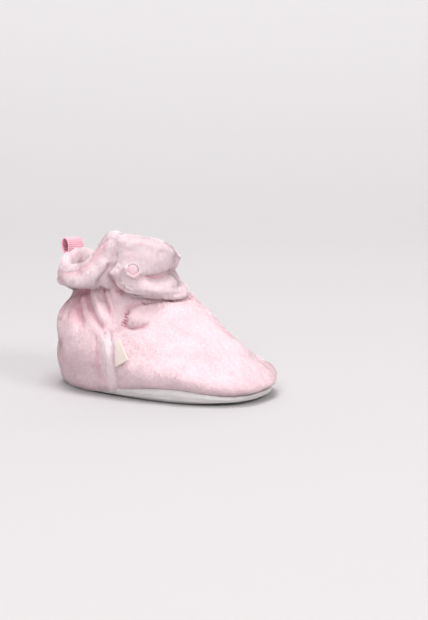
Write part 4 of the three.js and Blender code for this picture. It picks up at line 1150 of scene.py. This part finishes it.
# Pull loop: deep pink grosgrain ribbon, folded into an open loop and sewn into the top edge of the cuff at
# the centre of the back. Its ribs run across the ribbon.
LOOP_WIDTH = 14
LOOP_HEIGHT = 9
LOOP_SINK = 0.3
LOOP_SETTLE = 1.5
LOOP_DEPTH = 4.8
LOOP_RIBBON = 0.8
LOOP_ROOT = 4
LOOP_LEAN = math.radians(10)
LOOP_TILT = math.radians(7)
LOOP_LEGS_APART = 1.04
RIB_PITCH = 1.05
RIB_HEIGHT = 0.13
ribbon_pink, shader, place = finish(
    "grosgrain", Sheen_Weight=0.2, Sheen_Roughness=0.4, Specular_IOR_Level=0.3
)
thread = place.noise(0.35, 2, (1, 3, 1))
feed(
    shader,
    Base_Color=(thread * 0.5 + place.noise(4, 2) * 0.5).colours((0.84, 0.42, 0.52, 1), (0.92, 0.53, 0.62, 1)),
    Roughness=thread * 0.2 + 0.5,
    Normal=thread.bump(0.4, 0.12),
)
turns = np.radians(np.linspace(-72, 252, 120))
half_depth = LOOP_DEPTH / 2 - LOOP_RIBBON / 2
half_height = LOOP_HEIGHT / 2 - LOOP_RIBBON / 2
loop_up = LOOP_HEIGHT / 2 - LOOP_SINK + half_height * np.sin(turns)
path = np.stack([half_depth * np.cos(turns), loop_up], axis=-1)
foot_down = np.linspace(0, 1, 30)[1:, None]
right_leg = mix(path[:1], np.array([[LOOP_LEGS_APART / 2, -LOOP_ROOT]]), foot_down)
left_leg = mix(path[-1:], np.array([[-LOOP_LEGS_APART / 2, -LOOP_ROOT]]), foot_down)
path = np.concatenate([right_leg[::-1], path, left_leg])
steps = np.linalg.norm(np.diff(path, axis=0), axis=1)
run = np.concatenate([[0], np.cumsum(steps)])
even = np.linspace(0, run[-1], 330)
path = np.stack([np.interp(even, run, path[:, 0]), np.interp(even, run, path[:, 1])], axis=-1)
ahead = np.gradient(path, axis=0)
ahead /= np.linalg.norm(ahead, axis=1, keepdims=True)
facing = np.stack([ahead[:, 1], -ahead[:, 0]], axis=-1)
rib = RIB_HEIGHT * np.cos(2 * np.pi * even / RIB_PITCH)
across = np.linspace(-1, 1, 14)
section = [(a, 1) for a in across] + [(a, -1) for a in across[::-1]]
loop_rows = []
for place_at, way, wave in zip(path, facing, rib):
    ring_points = []
    for a, face in section:
        selvedge = 1 - 0.35 * smooth(0.94, 1.0, abs(a))
        out = face * (LOOP_RIBBON / 2 - RIB_HEIGHT + wave) * selvedge
        ring_points.append((place_at[0] + way[0] * out, a * LOOP_WIDTH / 2, place_at[1] + way[1] * out))
    loop_rows.append(ring_points)
grid = np.array(loop_rows)
x, y, z = grid[..., 0], grid[..., 1], grid[..., 2]
cos, sin = math.cos(LOOP_LEAN), math.sin(LOOP_LEAN)
x, z = x * cos - z * sin, x * sin + z * cos
cos, sin = math.cos(LOOP_TILT), math.sin(LOOP_TILT)
y, z = y * cos + z * sin, -y * sin + z * cos
back_rim = outside(np.array(180.0), np.array(CUFF_TOP)) - outward(np.array(180.0)) * CUFF_WALL / 2
grid = np.stack([x, y, z], axis=-1) + back_rim + np.array([0, 0, CUFF_WALL / 2 - LOOP_SETTLE])
pull_loop = cloth("ribbon_pull_loop", grid[:, ::-1], capped=True)
set_piece(pull_loop, ribbon_pink, "ribbon", "pull_loop")

# Side label: a bare cream tape, folded once and sewn into the side seam on the outer side. It stands a little
# off the plush and points forwards.
LABEL_LENGTH = 13
LABEL_FOOT = 0.235
LABEL_REACH = 6.4
LABEL_REACH_TOP = 3.8
LABEL_SLANT = 0.011
LABEL_THICKNESS = 0.8
label_cream, shader, place = finish("woven_tape", Sheen_Weight=0.1, Specular_IOR_Level=0.25)
warp = place.threads("Z", 700.0)
soiling = place.noise(2.5, 3)
feed(
    shader,
    Base_Color=(soiling * 0.6 + warp * 0.4).colours((0.74, 0.62, 0.56, 1), (0.88, 0.78, 0.73, 1)),
    Roughness=warp * 0.1 + 0.7,
    Normal=(warp + place.noise(0.4, 2)).bump(0.4, 0.08),
)
forward, upward = np.meshgrid(np.linspace(0, 1, 22), np.linspace(0, 1, 40))
reach = forward * mix(LABEL_REACH, LABEL_REACH_TOP, upward)
rise = LABEL_FOOT + LABEL_LENGTH / ANKLE_HEIGHT_SIDE * upward + reach * LABEL_SLANT
degrees = 1.5 - side_seam(rise) + np.degrees(reach / (SOLE_LENGTH / 2))
point, normal, around, up = skin(degrees, rise)
fold_round = np.sqrt(1 - np.clip((forward - 0.93) / 0.07, 0, 1) ** 2)
bow = 0.25 * np.sin(upward * math.pi) * forward
middle = CLEARANCE + 0.2 + 0.22 * reach + LABEL_THICKNESS / 2 + bow
front = point + normal * (middle + fold_round * (LABEL_THICKNESS / 2 + 0.1 * (1 - forward)))[..., None]
rear = point + normal * (middle - fold_round * LABEL_THICKNESS / 2)[..., None]
grid = np.concatenate([front, rear[:, ::-1]], axis=1)
label = cloth("folded_side_label", grid, capped=True)
set_piece(label, label_cream, "label_tape", "side_label")

# Floor and backdrop: one sheet of pale paper that curves up behind the bootie. It is painted darker on the
# floor and paler up the wall, as painted light on the wall.
BACKDROP_AWAY = 0.5
BACKDROP_SWEEP = 0.6
paper, shader, place = finish("pale_paper", Roughness=0.9, Specular_IOR_Level=0.1)
# Painted light: the paper is painted paler with height, over the first 0.6 metres.
painted_light_above = (place.axis("Z") * 1.6).clamp()
feed(shader, Base_Color=painted_light_above.colours((0.51, 0.498, 0.503, 1), (0.8, 0.79, 0.797, 1)))
profile = [(-3.0, 0.0), (-0.5, 0.0), (0.3, 0.0), (BACKDROP_AWAY, 0.0)]
for turn in np.radians(np.arange(6, 91, 6)):
    depth = BACKDROP_AWAY + BACKDROP_SWEEP * math.sin(turn)
    profile.append((depth, BACKDROP_SWEEP * (1 - math.cos(turn))))
profile.append((BACKDROP_AWAY + BACKDROP_SWEEP, 4.0))
away = np.array([-towards_camera.x, -towards_camera.y, 0]) / math.hypot(towards_camera.x, towards_camera.y)
aside = np.array(picture_right)
rows = []
for depth, height in profile:
    middle = away * depth + np.array([0, 0, height])
    rows.append([middle + aside * 4.0, middle - aside * 4.0])
backdrop = cloth("paper_backdrop", np.array(rows) / MM, around=False)
backdrop.data.materials.append(paper)
